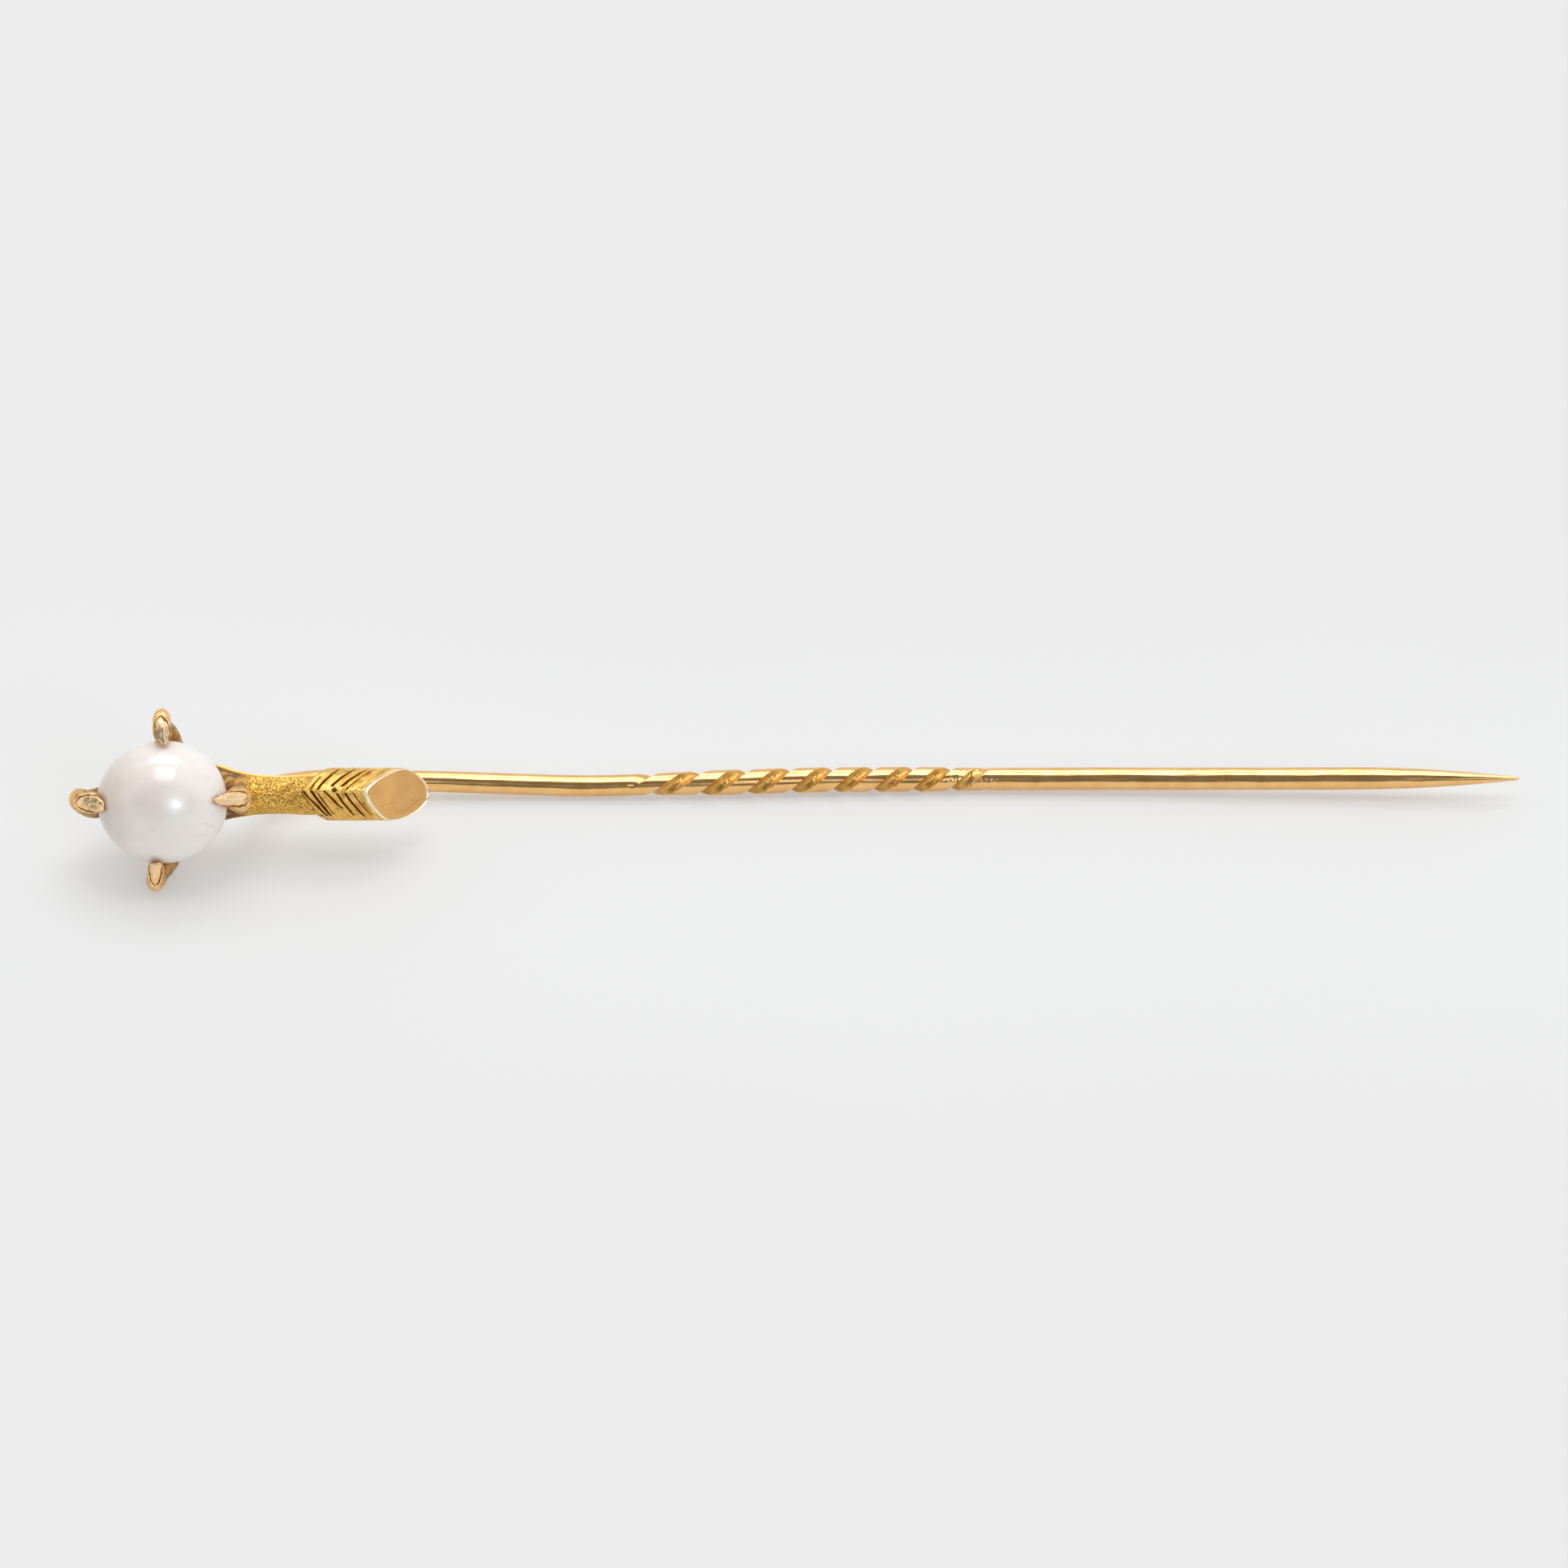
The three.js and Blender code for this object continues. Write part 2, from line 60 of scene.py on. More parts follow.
# Each claw: its knuckle, the bend above the nail's root, and its tip; the toe's half width, its drift aside
# on its way up from the palm, how rough it is and how much painted shade darkens its hood; how far past the
# knuckle the nail begins, and how far along the nail the hood reaches; the ridge's place and steepness, and
# how streaked the nail's face is; the nail's outline, as places along it (0 to 1) and where its two edges
# are.
CLAWS = {
    "upper": dict(
        knuckle=(-0.02, 4.0, 0.12), root=(-0.02, 3.68, 0.66), tip=(0.05, 2.85, 1.2),
        width=0.44, drift=(0, 0), rough=0.03, hood_shade=0.15, begin=0.42, sheath=0.86,
        ridge=(0.2, 0.04, 1.0),
        nail=[
            (0, -0.1, 0.02), (0.13, -0.33, 0.22), (0.3, -0.37, 0.33), (0.6, -0.35, 0.34),
            (0.78, -0.28, 0.3), (0.92, -0.12, 0.24), (1, 0.0, 0.13),
        ],
    ),
    "front": dict(
        knuckle=(-3.98, 0.1, 0.1), root=(-3.7, 0.1, 0.68), tip=(-2.72, 0.08, 1.52),
        width=0.58, drift=(0, -0.36), rough=0.035, hood_shade=0.4, begin=0.56, sheath=0.72,
        ridge=(-0.1, 0.02, 0.3),
        nail=[
            (0, -0.14, -0.02), (0.08, -0.24, 0.2), (0.3, -0.38, 0.33), (0.6, -0.43, 0.37),
            (0.7, -0.43, 0.4), (0.75, -0.42, 0.28), (0.92, -0.39, 0.12), (1, -0.34, 0.02),
        ],
    ),
    "lower": dict(
        knuckle=(-0.33, -3.8, 0.1), root=(-0.31, -3.54, 0.62), tip=(-0.3, -2.7, 1.45),
        width=0.46, drift=(0.22, 0), rough=0.03, hood_shade=0.35, begin=0.62, sheath=0.8,
        ridge=(0.3, 0.03, 0.7),
        nail=[
            (0, -0.08, 0.08), (0.12, -0.2, 0.2), (0.45, -0.27, 0.26), (0.85, -0.31, 0.32),
            (0.93, -0.27, 0.2), (1, -0.2, -0.06),
        ],
    ),
    "hind": dict(
        knuckle=(3.74, 0.08, 0.0), root=(3.52, 0.22, 0.72), tip=(2.44, 0.3, 1.96),
        width=0.6, drift=(0, 0), rough=0.045, hood_shade=0.05, begin=0.36, sheath=0.46,
        ridge=(-0.35, 0.06, 0.7),
        nail=[
            (0, -0.16, 0.2), (0.1, -0.3, 0.32), (0.3, -0.36, 0.38), (0.58, -0.33, 0.36),
            (0.78, -0.22, 0.27), (0.95, -0.12, 0.15), (1, -0.08, 0.1),
        ],
    ),
}
HIND_TOE_FOOT = (3.45, 0.08, -1.95)
HIND_TOE_BEND = (3.74, 0.08, -0.9)
TOE_TOP = 0.52  # of a toe's back over its middle line
TOE_SOLE = 0.5
TOE_END = 0.12  # the length over which a toe's end closes
NAIL_RISE = 0.44  # of a nail's face over the claw's middle line, at its root
NAIL_FALL = 0.31  # how much lower its face is at the tip
NAIL_BED_DEPTH = 0.13
HOOD_RIM = 0.1  # from the nail's outline to the crest of the hood's rim
FOLD_SPACING = 0.105  # of the wrinkles round the hood
PEARL_GAP = 0.015  # between the claws and the pearl

# Along the shank's axis: place along the pin, depth behind the pearl, half width, half depth.
SHANK = [
    (2.3, -2.9, 1.36, 0.98), (2.78, -2.67, 1.3, 1.08), (3.13, -2.5, 1.2, 1.08),
    (3.73, -2.29, 1.05, 1.02), (4.53, -2.18, 0.92, 0.96), (5.33, -2.15, 0.88, 0.93),
    (6.13, -2.15, 0.88, 0.93), (6.73, -2.15, 0.92, 0.95), (7.83, -2.15, 0.92, 0.95),
]
SHANK_WALL = 0.3
SEAM_GAP = 0.012
LEG_SIDE = 0.09
CUFF_START = 6.63
CUFF_AXIS = (0.12, -2.15)
CUFF_HALF_WIDTH = 1.27
CUFF_HALF_DEPTH = 1.3
CUFF_ROLL = math.radians(15)
CUFF_FRONT_EXPONENT = 1.45
CUFF_BACK_EXPONENT = 1.8
CUT_FRONT = 9.7
CUT_BACK = 12.8
CUT_SLOPE = (CUT_BACK - CUT_FRONT) / (2 * CUFF_HALF_DEPTH)
CUT_MIDDLE = (CUT_FRONT + CUT_BACK) / 2

STEM_LINE = PEARL_CENTRE + (0, 7.13, -4.0)  # where the lying wire's line passes the pearl, on the table
STEM_RADIUS = 0.51
TWIST_RADIUS = 0.6
SHAFT_RADIUS = 0.545
TWIST_START = 23.43
TWIST_END = 39.03
TWIST_FIRST_GROOVE = 24.57
TWIST_HALF_PITCH = 2.35
TWIST_TIGHTENING = 0.0048
TWIST_RUN_IN = 1.2
GROOVE_DEPTH = 0.25
GROOVE_HALF_ANGLE = math.radians(42)
TIP_ROUNDING = 0.1
TAPER_START = 57.03
TIP = 65.29
TIP_RADIUS = 0.07

# The wire's swan neck, in the head's frame.
NECK = [(3.78, 0.09, -3.43), (4.53, 0.09, -4.52), (5.33, 0.1, -5.67), (6.18, 0.12, -6.77), (7.33, 0.15, -7.5)]
# From the pearl's centre along the pin, from the stem's line, and over the table.
LYING = [
    (9.73, -0.35, 0.84), (12.73, -0.3, 0.74), (17.43, -0.32, 0.58), (20.23, -0.36, 0.52),
    (23.33, -0.33, 0.58), (27.23, -0.18, 0.61), (31.13, 0.02, 0.61), (39.03, 0.18, 0.56),
    (44.83, 0.1, 0.63), (50.73, -0.09, 0.75), (58.53, -0.34, 0.93), (TIP, -0.72, 1.17),
]

# ---- Small tools ----


class Noise:
    """Smooth noise over space, about -1 to 1, the same each run."""

    def __init__(self, seed):
        rng = np.random.default_rng(seed)
        self.order = np.concatenate([rng.permutation(256)] * 3)
        self.slopes = unit(rng.normal(size=(256, 3)))

    def __call__(self, points, size):
        p = np.asarray(points, float) / size
        cell = np.floor(p).astype(int)
        inside = p - cell
        ease = inside**3 * (inside * (inside * 6 - 15) + 10)
        total = 0
        for corner in np.ndindex(2, 2, 2):
            x, y, z = np.moveaxis((cell + corner) & 255, -1, 0)
            slope = self.slopes[self.order[self.order[self.order[x] + y] + z]]
            height = ((inside - corner) * slope).sum(-1)
            weight = np.where(np.array(corner) == 1, ease, 1 - ease).prod(-1)
            total = total + weight * height
        return 1.6 * total


def smoothstep(value, low, high):
    t = np.clip((np.asarray(value, float) - low) / (high - low), 0, 1)
    return t * t * (3 - 2 * t)


def bell(value, width):
    """1 where the value is 0, falling away within about width on both sides."""
    return np.exp(-((value / width) ** 2))


def lengths(vectors):
    return np.linalg.norm(vectors, axis=-1)


def unit(vectors):
    return vectors / lengths(vectors)[..., None]


def circle(count):
    return np.linspace(0, 2 * np.pi, count, endpoint=False)


def joined(x, y, z):
    """Points from their three coordinates, each an array or one value."""
    return np.stack(np.broadcast_arrays(x, y, z), axis=-1)


def distances_along(path):
    return np.concatenate([[0], np.cumsum(lengths(np.diff(path, axis=0)))])


def points_at(wanted, along, path):
    """Points of a path at wanted values of along, which has one value for each of its points."""
    return joined(*(np.interp(wanted, along, path[:, i]) for i in range(3)))


def curve_through(points, count):
    """count points evenly along a smooth curve through points."""
    knots = np.array(points, float)
    knots = np.vstack([2 * knots[0] - knots[1], knots, 2 * knots[-1] - knots[-2]])
    fine = []
    for a, b, c, d in zip(knots, knots[1:], knots[2:], knots[3:]):
        t = np.linspace(0, 1, 60, endpoint=False)[:, None]
        ab, bc, cd = np.sqrt(np.maximum(lengths(np.array([b - a, c - b, d - c])), 1e-6))
        start = bc * ((b - a) / ab - (c - a) / (ab + bc) + (c - b) / bc)
        end = bc * ((c - b) / bc - (d - b) / (bc + cd) + (d - c) / cd)
        fine.append(
            (2 * t**3 - 3 * t**2 + 1) * b + (t**3 - 2 * t**2 + t) * start
            + (3 * t**2 - 2 * t**3) * c + (t**3 - t**2) * end
        )
    fine = np.vstack([*fine, knots[-2][None]])
    along = distances_along(fine)
    return points_at(np.linspace(0, along[-1], count), along, fine)


def respaced(path, spacing):
    """Points along a fine path, about spacing apart, which has one value for each of its points."""
    step = lengths(np.diff(path, axis=0))
    total = np.concatenate([[0], np.cumsum(step * 2 / (spacing[1:] + spacing[:-1]))])
    return points_at(np.linspace(0, total[-1], int(total[-1]) + 1), total, path)


def frames_along(path, up):
    """Side and up directions at each point of a path, square to it. up is one direction or one per point."""
    along = unit(np.gradient(path, axis=0))
    up = np.asarray(up, float)
    up = unit(up - along * (up * along).sum(1, keepdims=True))
    return np.cross(up, along), up


def rings(path, side, up, x, y):
    """Points at x along side and y along up from each point of a path: x and y are (path, ring) arrays."""
    return path[:, None] + side[:, None] * x[..., None] + up[:, None] * y[..., None]


def from_head(points):
    """Points of the head's frame in the whole pin's frame, in millimetres."""
    return np.asarray(points, float) @ HEAD_TURN.T + PEARL_CENTRE


def to_head(points):
    return (np.asarray(points, float) - PEARL_CENTRE) @ HEAD_TURN


def surface_normals(points):
    """Directions out of a grid of rings, from its neighbours."""
    across = np.roll(points, -1, axis=1) - np.roll(points, 1, axis=1)
    along = np.gradient(points, axis=0)
    return unit(np.cross(across, along) + 1e-12)


def placed(name, data):
    """A new object in the scene."""
    thing = bpy.data.objects.new(name, data)
    bpy.context.scene.collection.objects.link(thing)
    return thing


def add_piece(name, node, slot, points, sharp_angle=None, patina_and_shade=None, wear_and_highlight=None):
    """A closed piece that stands for a CAD node, from rings of points (ring, place, xyz) in the head's frame.

    Fans close its ends. Of the two amounts, held to 0 to 1 at each point, the first is how much dark patina
    and painted shade the surface holds there, and the second how much painted highlight makes it pale and
    bright.
    """
    ring_count, count, _ = points.shape
    ends = np.stack([points[0].mean(0), points[-1].mean(0)])
    vertices = from_head(np.vstack([points.reshape(-1, 3), ends])) * MM
    ring, place = np.meshgrid(np.arange(ring_count - 1), np.arange(count), indexing="ij")
    a = ring * count + place
    b = ring * count + (place + 1) % count
    quads = np.stack([a, b, b + count, a + count], axis=-1).reshape(-1, 4)
    around = np.arange(count)
    after = (around + 1) % count
    first, last = ring_count * count, ring_count * count + 1
    top = (ring_count - 1) * count
    start_fan = np.stack([after, around, np.full(count, first)], axis=1)
    end_fan = np.stack([top + around, top + after, np.full(count, last)], axis=1)
    loops = np.concatenate([quads.ravel(), start_fan.ravel(), end_fan.ravel()])
    sizes = np.concatenate([np.full(len(quads), 4), np.full(2 * count, 3)])
    mesh = bpy.data.meshes.new(name)
    mesh.vertices.add(len(vertices))
    mesh.vertices.foreach_set("co", vertices.astype(np.float32).ravel())
    mesh.loops.add(len(loops))
    mesh.loops.foreach_set("vertex_index", loops.astype(np.int32))
    mesh.polygons.add(len(sizes))
    starts = np.concatenate([[0], np.cumsum(sizes)[:-1]])
    mesh.polygons.foreach_set("loop_start", starts.astype(np.int32))
    mesh.update(calc_edges=True)
    mesh.validate()
    mesh.shade_smooth()
    for label, amount in (("patina_and_shade", patina_and_shade), ("wear_and_highlight", wear_and_highlight)):
        if amount is not None:
            amount = np.clip(np.broadcast_to(amount, points.shape[:2]), 0, 1)
            values = np.concatenate([amount.ravel(), [amount[0].mean(), amount[-1].mean()]])
            attribute = mesh.attributes.new(label, "FLOAT", "POINT")
            attribute.data.foreach_set("value", values.astype(np.float32))
    if sharp_angle:
        mesh.set_sharp_from_angle(angle=math.radians(sharp_angle))
    mesh.materials.append(MATERIALS[slot])
    piece = placed(name, mesh)
    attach(piece, "root")
    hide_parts(node)


# ---- Materials ----


class Nodes:
    """A short way to write a node tree, emptied first."""

    def __init__(self, tree):
        self.tree = tree
        tree.nodes.clear()
        self.coordinates = self.add("ShaderNodeTexCoord")

    def add(self, kind, **settings):
        """A new node, with values for its named inputs or its own settings."""
        node = self.tree.nodes.new(kind)
        for key, value in settings.items():
            if key in node.inputs:
                node.inputs[key].default_value = value
            else:
                setattr(node, key, value)
        return node

    def link(self, source, target):
        self.tree.links.new(source, target)

    def ramp(self, source, stops):
        """A colour ramp; its stops are positions with a colour or a grey level."""
        node = self.add("ShaderNodeValToRGB")
        elements = node.color_ramp.elements
        while len(elements) < len(stops):
            elements.new(0.5)
        for element, (position, colour) in zip(elements, stops):
            element.position = position
            element.color = (*colour, 1) if hasattr(colour, "__len__") else (colour, colour, colour, 1)
        self.link(source, node.inputs["Fac"])
        return node.outputs["Color"]

    def mapped(self, source, from_low, from_high, low, high):
        """The source, with from_low to from_high made low to high."""
        ends = {"From Min": from_low, "From Max": from_high, "To Min": low, "To Max": high}
        node = self.add("ShaderNodeMapRange", **ends)
        self.link(source, node.inputs["Value"])
        return node.outputs["Result"]

    def split(self, source):
        """The source's x, y and z."""
        node = self.add("ShaderNodeSeparateXYZ")
        self.link(source, node.inputs[0])
        return node.outputs


class Surface(Nodes):
    """A node material on a principled shader."""

    def __init__(self, name):
        self.material = bpy.data.materials.new(name)
        self.material.use_nodes = True
        super().__init__(self.material.node_tree)
        output = self.add("ShaderNodeOutputMaterial")
        self.shader = self.add("ShaderNodeBsdfPrincipled")
        self.link(self.shader.outputs[0], output.inputs["Surface"])
        self.place = self.coordinates.outputs["Object"]

    def noise(self, scale, detail=3.0, roughness=0.5, stretch=(1, 1, 1)):
        """A noise whose blobs are 1 / scale millimetres across, longer where stretch is below 1."""
        mapping = self.add("ShaderNodeMapping", Scale=[s / MM for s in stretch])
        self.link(self.place, mapping.inputs["Vector"])
        node = self.add("ShaderNodeTexNoise", Scale=scale, Detail=detail, Roughness=roughness)
        self.link(mapping.outputs[0], node.inputs["Vector"])
        return node.outputs["Fac"]

    def attribute(self, name):
        return self.add("ShaderNodeAttribute", attribute_name=name).outputs["Fac"]

    def mixed(self, share, first, second):
        """The first colour, with a share of the second, fixed one."""
        node = self.add("ShaderNodeMix", data_type="RGBA")
        self.link(share, node.inputs[0])
        self.link(first, node.inputs[6])
        node.inputs[7].default_value = (*second, 1)
        return node.outputs[2]

    def bump(self, source, height_mm):
        node = self.add("ShaderNodeBump", Strength=1.0, Distance=height_mm * MM)
        self.link(source, node.inputs["Height"])
        return node.outputs["Normal"]

    def set(self, **values):
        for key, value in values.items():
            self.shader.inputs[key.replace("_", " ")].default_value = value


# The pale colour of painted highlights.
PAINTED_HIGHLIGHT = (1.0, 0.87, 0.64)
# Dark colours for patina in hollows and for painted shade; the first two also darken the toes, talons, cuff
# and the leg by the palm as painted shade, the wire's is patina only.
PATINA_AND_SHADE = (0.25, 0.085, 0.012)
LEG_PATINA_AND_SHADE = (0.24, 0.13, 0.06)
WIRE_PATINA = (0.62, 0.33, 0.06)
# The colour of the pearl's growth lines and of the painted warm shade on its left side.
PEARL_MARK_AND_SHADE = (0.4, 0.3, 0.2)
PEARL_TINTS = [(0.3, (0.885, 0.79, 0.735)), (0.5, (0.925, 0.85, 0.8)), (0.7, (0.93, 0.87, 0.815))]
GRIME_ROUGHNESS = 0.3  # that full patina adds


def gold(name, light, dark, patina_shade_colour, roughness, grain_mm, grain_height, stretch=(1, 1, 1)):
    """Gold between two colours, darkened by patina and painted shade and made pale by painted highlights,
    where each piece asks.

    roughness is its lowest and highest value, and the grain is the fine unevenness of the surface.
    """
    nodes = Surface(name)
    patches = nodes.noise(1.3, detail=4)
    clean = nodes.ramp(patches, [(0.35, dark), (0.65, light)])
    # Patina and painted shade darken the colour; painted highlight makes it pale.
    patina_and_shade = nodes.attribute("patina_and_shade")
    highlighted = nodes.mixed(nodes.attribute("wear_and_highlight"), clean, PAINTED_HIGHLIGHT)
    nodes.link(nodes.mixed(patina_and_shade, highlighted, patina_shade_colour), nodes.shader.inputs["Base Color"])
    nodes.set(Metallic=1.0)
    wear = nodes.noise(6.0, detail=5, roughness=0.65, stretch=stretch)
    polish = nodes.mapped(wear, 0.3, 0.7, *roughness)
    dull = nodes.add("ShaderNodeMath", operation="MULTIPLY_ADD", use_clamp=True)
    nodes.link(patina_and_shade, dull.inputs[0])
    dull.inputs[1].default_value = GRIME_ROUGHNESS
    nodes.link(polish, dull.inputs[2])
    nodes.link(dull.outputs[0], nodes.shader.inputs["Roughness"])
    grain = nodes.noise(1 / grain_mm, detail=4, roughness=0.6, stretch=stretch)
    nodes.link(nodes.bump(grain, grain_height), nodes.shader.inputs["Normal"])
    return nodes.material


def pearl_material():
    nodes = Surface("nacre_pearl")
    clouds = nodes.noise(0.3, detail=3, roughness=0.55)
    tints = nodes.ramp(clouds, PEARL_TINTS)
    # Growth lines, and painted warm shade on the pearl's left side.
    marked_and_shaded = nodes.mixed(nodes.attribute("patina_and_shade"), tints, PEARL_MARK_AND_SHADE)
    nodes.link(marked_and_shaded, nodes.shader.inputs["Base Color"])
    nodes.set(Roughness=0.34, IOR=1.6, Coat_Weight=0.75, Coat_Roughness=0.14, Coat_IOR=1.7)
    nodes.set(Sheen_Weight=0.1, Sheen_Roughness=0.4, Sheen_Tint=(1.0, 0.9, 0.85, 1))
    nodes.set(Subsurface_Weight=0.85, Subsurface_Radius=(1.0, 0.84, 0.72), Subsurface_Scale=0.0008)
    skin = nodes.noise(6.0, detail=3)
    nodes.link(nodes.bump(skin, 0.0015), nodes.shader.inputs["Normal"])
    return nodes.material


# For each slot: two colours, the colour of patina and painted shade, the lowest and highest roughness, and
# the grain's size and height.
GOLDS = {
    "yellow_gold": ((1.0, 0.69, 0.31), (0.93, 0.56, 0.2), PATINA_AND_SHADE, (0.22, 0.38), 0.14, 0.008),
    "rose_gold": ((1.0, 0.72, 0.42), (1.0, 0.65, 0.34), PATINA_AND_SHADE, (0.24, 0.38), 0.08, 0.005),
    "engraved_gold": ((1.0, 0.67, 0.2), (0.9, 0.52, 0.11), PATINA_AND_SHADE, (0.2, 0.34), 0.09, 0.006),
    "grained_gold": ((1.0, 0.62, 0.15), (0.85, 0.47, 0.08), LEG_PATINA_AND_SHADE, (0.2, 0.34), 0.05, 0.005),
    "satin_gold": ((0.89, 0.51, 0.18), (0.79, 0.44, 0.16), PATINA_AND_SHADE, (0.3, 0.42), 0.06, 0.002),
    "solder": ((0.85, 0.58, 0.28), (0.74, 0.48, 0.22), PATINA_AND_SHADE, (0.35, 0.55), 0.12, 0.01),
    "wire_gold": ((0.97, 0.6, 0.25), (0.9, 0.52, 0.19), WIRE_PATINA, (0.1, 0.2), 0.1, 0.002, (0.15, 1, 1)),
}
MATERIALS = {slot: gold(slot, *settings) for slot, settings in GOLDS.items()}
MATERIALS["nacre"] = pearl_material()

# ---- The pearl ----

PEARL_POLE_GAP = 0.004  # the angle that the end fan closes
HAIRLINE_WIDTH = 0.036
PALM_DIRECTION = np.array([math.sin(PALM_LEAN), 0, -math.cos(PALM_LEAN)])
uneven = Noise(11)


def over_pearl(directions, height=0.0):
    """Points over the pearl's surface in the given directions."""
    d = unit(np.asarray(directions, float))
    size = np.array([PEARL_LENGTH, PEARL_WIDTH, PEARL_WIDTH]) / 2
    return d * (1 / lengths(d / size) + height)[..., None]


def spokes_round_peg(around):
    """Directions square to the peg's axis, at the given angles round it."""
    side = unit(np.cross([0, 1, 0], PALM_DIRECTION))
    return np.cos(around)[:, None] * side + np.sin(around)[:, None] * np.cross(PALM_DIRECTION, side)


# Fine growth lines low on the pearl's right side: how strong each is, and points it runs through.
PEARL_HAIRLINES = [
    (0.32, [(1.95, -0.75, 1.9), (2.3, -0.95, 1.45), (2.35, -1.25, 1.15)]),
    (0.24, [(2.25, -0.35, 1.75), (2.55, -0.3, 1.4), (2.75, -0.05, 1.1)]),
    (0.2, [(1.6, -1.25, 1.9), (2.05, -1.35, 1.5)]),
    (0.16, [(2.0, 1.1, 1.7), (2.2, 1.3, 1.3)]),
]


def off_line(points, line):
    """The distance from each point to a line through the given points."""
    nearest = np.full(points.shape[:-1], np.inf)
    for a, b in zip(np.array(line[:-1]), np.array(line[1:])):
        share = np.clip(((points - a) @ (b - a)) / ((b - a) @ (b - a)), 0, 1)
        nearest = np.minimum(nearest, lengths(points - a - share[..., None] * (b - a)))
    return nearest


def make_pearl():
    """Rings round the peg's axis: the drilled hole's floor and wall, then the surface to the far pole."""
    size = PEARL_WIDTH / 2
    rim = math.asin(PEG_HOLE_RADIUS / size)
    spokes = spokes_round_peg(circle(320))
    hole = [
        spokes * (PEG_HOLE_RADIUS * share) + PALM_DIRECTION * (size - depth)
        for share, depth in ((0.05, PEG_HOLE_DEPTH), (1, PEG_HOLE_DEPTH), (1, 0.9), (1, 0.12))
    ]
    polar = np.linspace(rim, np.pi - PEARL_POLE_GAP, 280)[:, None, None]
    skin = over_pearl(np.cos(polar) * PALM_DIRECTION + np.sin(polar) * spokes)
    swell = 0.012 * uneven(skin, 2.6) + 0.004 * uneven(skin, 0.9)
    skin = skin + unit(skin) * (swell * smoothstep(polar[..., 0], rim, rim + 0.3))[..., None]
    points = np.concatenate([np.stack(hole), skin])
    lines = [(strength, over_pearl(np.array(line))) for strength, line in PEARL_HAIRLINES]
    marks = sum(deep * bell(off_line(points, line), HAIRLINE_WIDTH) for deep, line in lines)
    # Painted warm shade and the front claw's painted reflection on the pearl's left side, added to the growth
    # lines, with random mottling.
    painted_left_shade = 0.38 * smoothstep(-points[..., 0], 0.8, 3.0)
    marks = marks + painted_left_shade + 0.06 * uneven(points, 0.7)
    add_piece("pearl_body", "pearl", "nacre", points, patina_and_shade=marks)


make_pearl()

# ---- Toes and talons ----


def claw_line(name):
    """The middle line of a claw from the palm to its tip, with the distance along it from the nail's root."""
    claw = CLAWS[name]
    knuckle, root, tip = (np.array(claw[key], float) for key in ("knuckle", "root", "tip"))
    if name == "hind":
        start = [HIND_TOE_FOOT, HIND_TOE_BEND]
    else:
        equator = unit(knuckle * [1, 1, 0] + [0, 0, -0.9])
        shares = np.array([0.12, 0.3, 0.55, 0.8, 1])[:, None]
        start = over_pearl(PALM_DIRECTION * (1 - shares) + equator * shares, TOE_STAND_OFF)
        start = list(start + np.array([*claw["drift"], 0]) * np.array([0, 0.4, 0.9, 1, 0.8])[:, None])
    line = curve_through([*start, knuckle, root, tip], 3000)
    along = distances_along(line)
    at_knuckle = along[lengths(line - knuckle).argmin()]
    return line, along - at_knuckle - claw["begin"]


def nail_top(u, length):
    """How high over the claw's middle line the nail's face lies, at a distance u from its root."""
    return NAIL_RISE - NAIL_FALL * smoothstep(u, 0, length)


def nail_edges(s, claw):
    """Where the nail's two edges are, at places from its root (0) to its tip (1)."""
    places, low, high = np.array(claw["nail"]).T
    return np.interp(s, places, low), np.interp(s, places, high)


def off_the_pearl(points):
    """The points, with any that lie in the pearl brought out to its surface."""
    surface = over_pearl(points, PEARL_GAP)
    return np.where((lengths(points) < lengths(surface))[..., None], surface, points)


def squared(value, power):
    """A sine or cosine whose curve is fuller the lower the power is."""
    return np.sign(value) * np.abs(value) ** power


def softened(values, reach):
    """The values along a path, each blended with its neighbours as far as reach."""
    weights = np.hanning(2 * reach + 1)
    return np.convolve(np.pad(values, reach, "edge"), weights / weights.sum(), "valid")


def rounded_end(u):
    """1 along a toe, falling like a quarter circle at its very end."""
    beyond = ((u - u[-1] + TOE_END) / TOE_END).clip(0, 1)
    return np.sqrt(np.clip(1 - beyond**2, 0.0004, 1))[:, None]


def past_knuckle(u):
    return smoothstep(u, -0.15, 0.35)


def toe_section(claw, u, length, c, s):
    """Points of the toe, x across it and y over its middle line, where c and s are the places round it."""
    past = past_knuckle(u)
    end = 1 - smoothstep(u, 0.5 * claw["sheath"] * length, claw["sheath"] * length)
    foot = smoothstep(-u, 0.8, 3.0)
    low, high = (softened(edge, 12) for edge in nail_edges((u / length).clip(0.25, 1), claw))
    nail_half = (high - low) / 2
    rim = claw["width"] - nail_half.max()
    half_width = claw["width"] * (0.97 + 0.3 * foot)
    half_width = half_width * (1 - past) + past * (nail_half + rim * (0.25 + 0.75 * end))
    middle = past * (low + high) / 2
    top = TOE_TOP + (nail_top(u, length) + 0.05 - TOE_TOP) * smoothstep(u, -0.15, 0.3)
    bottom = TOE_SOLE - 0.2 * past
    boxy = (1 - 0.28 * past)[:, None]
    closing = rounded_end(u)
    x = middle[:, None] + half_width[:, None] * closing * squared(c, boxy)
    y = np.where(s > 0, top[:, None], bottom[:, None]) * closing * squared(s, boxy)
    return x, y


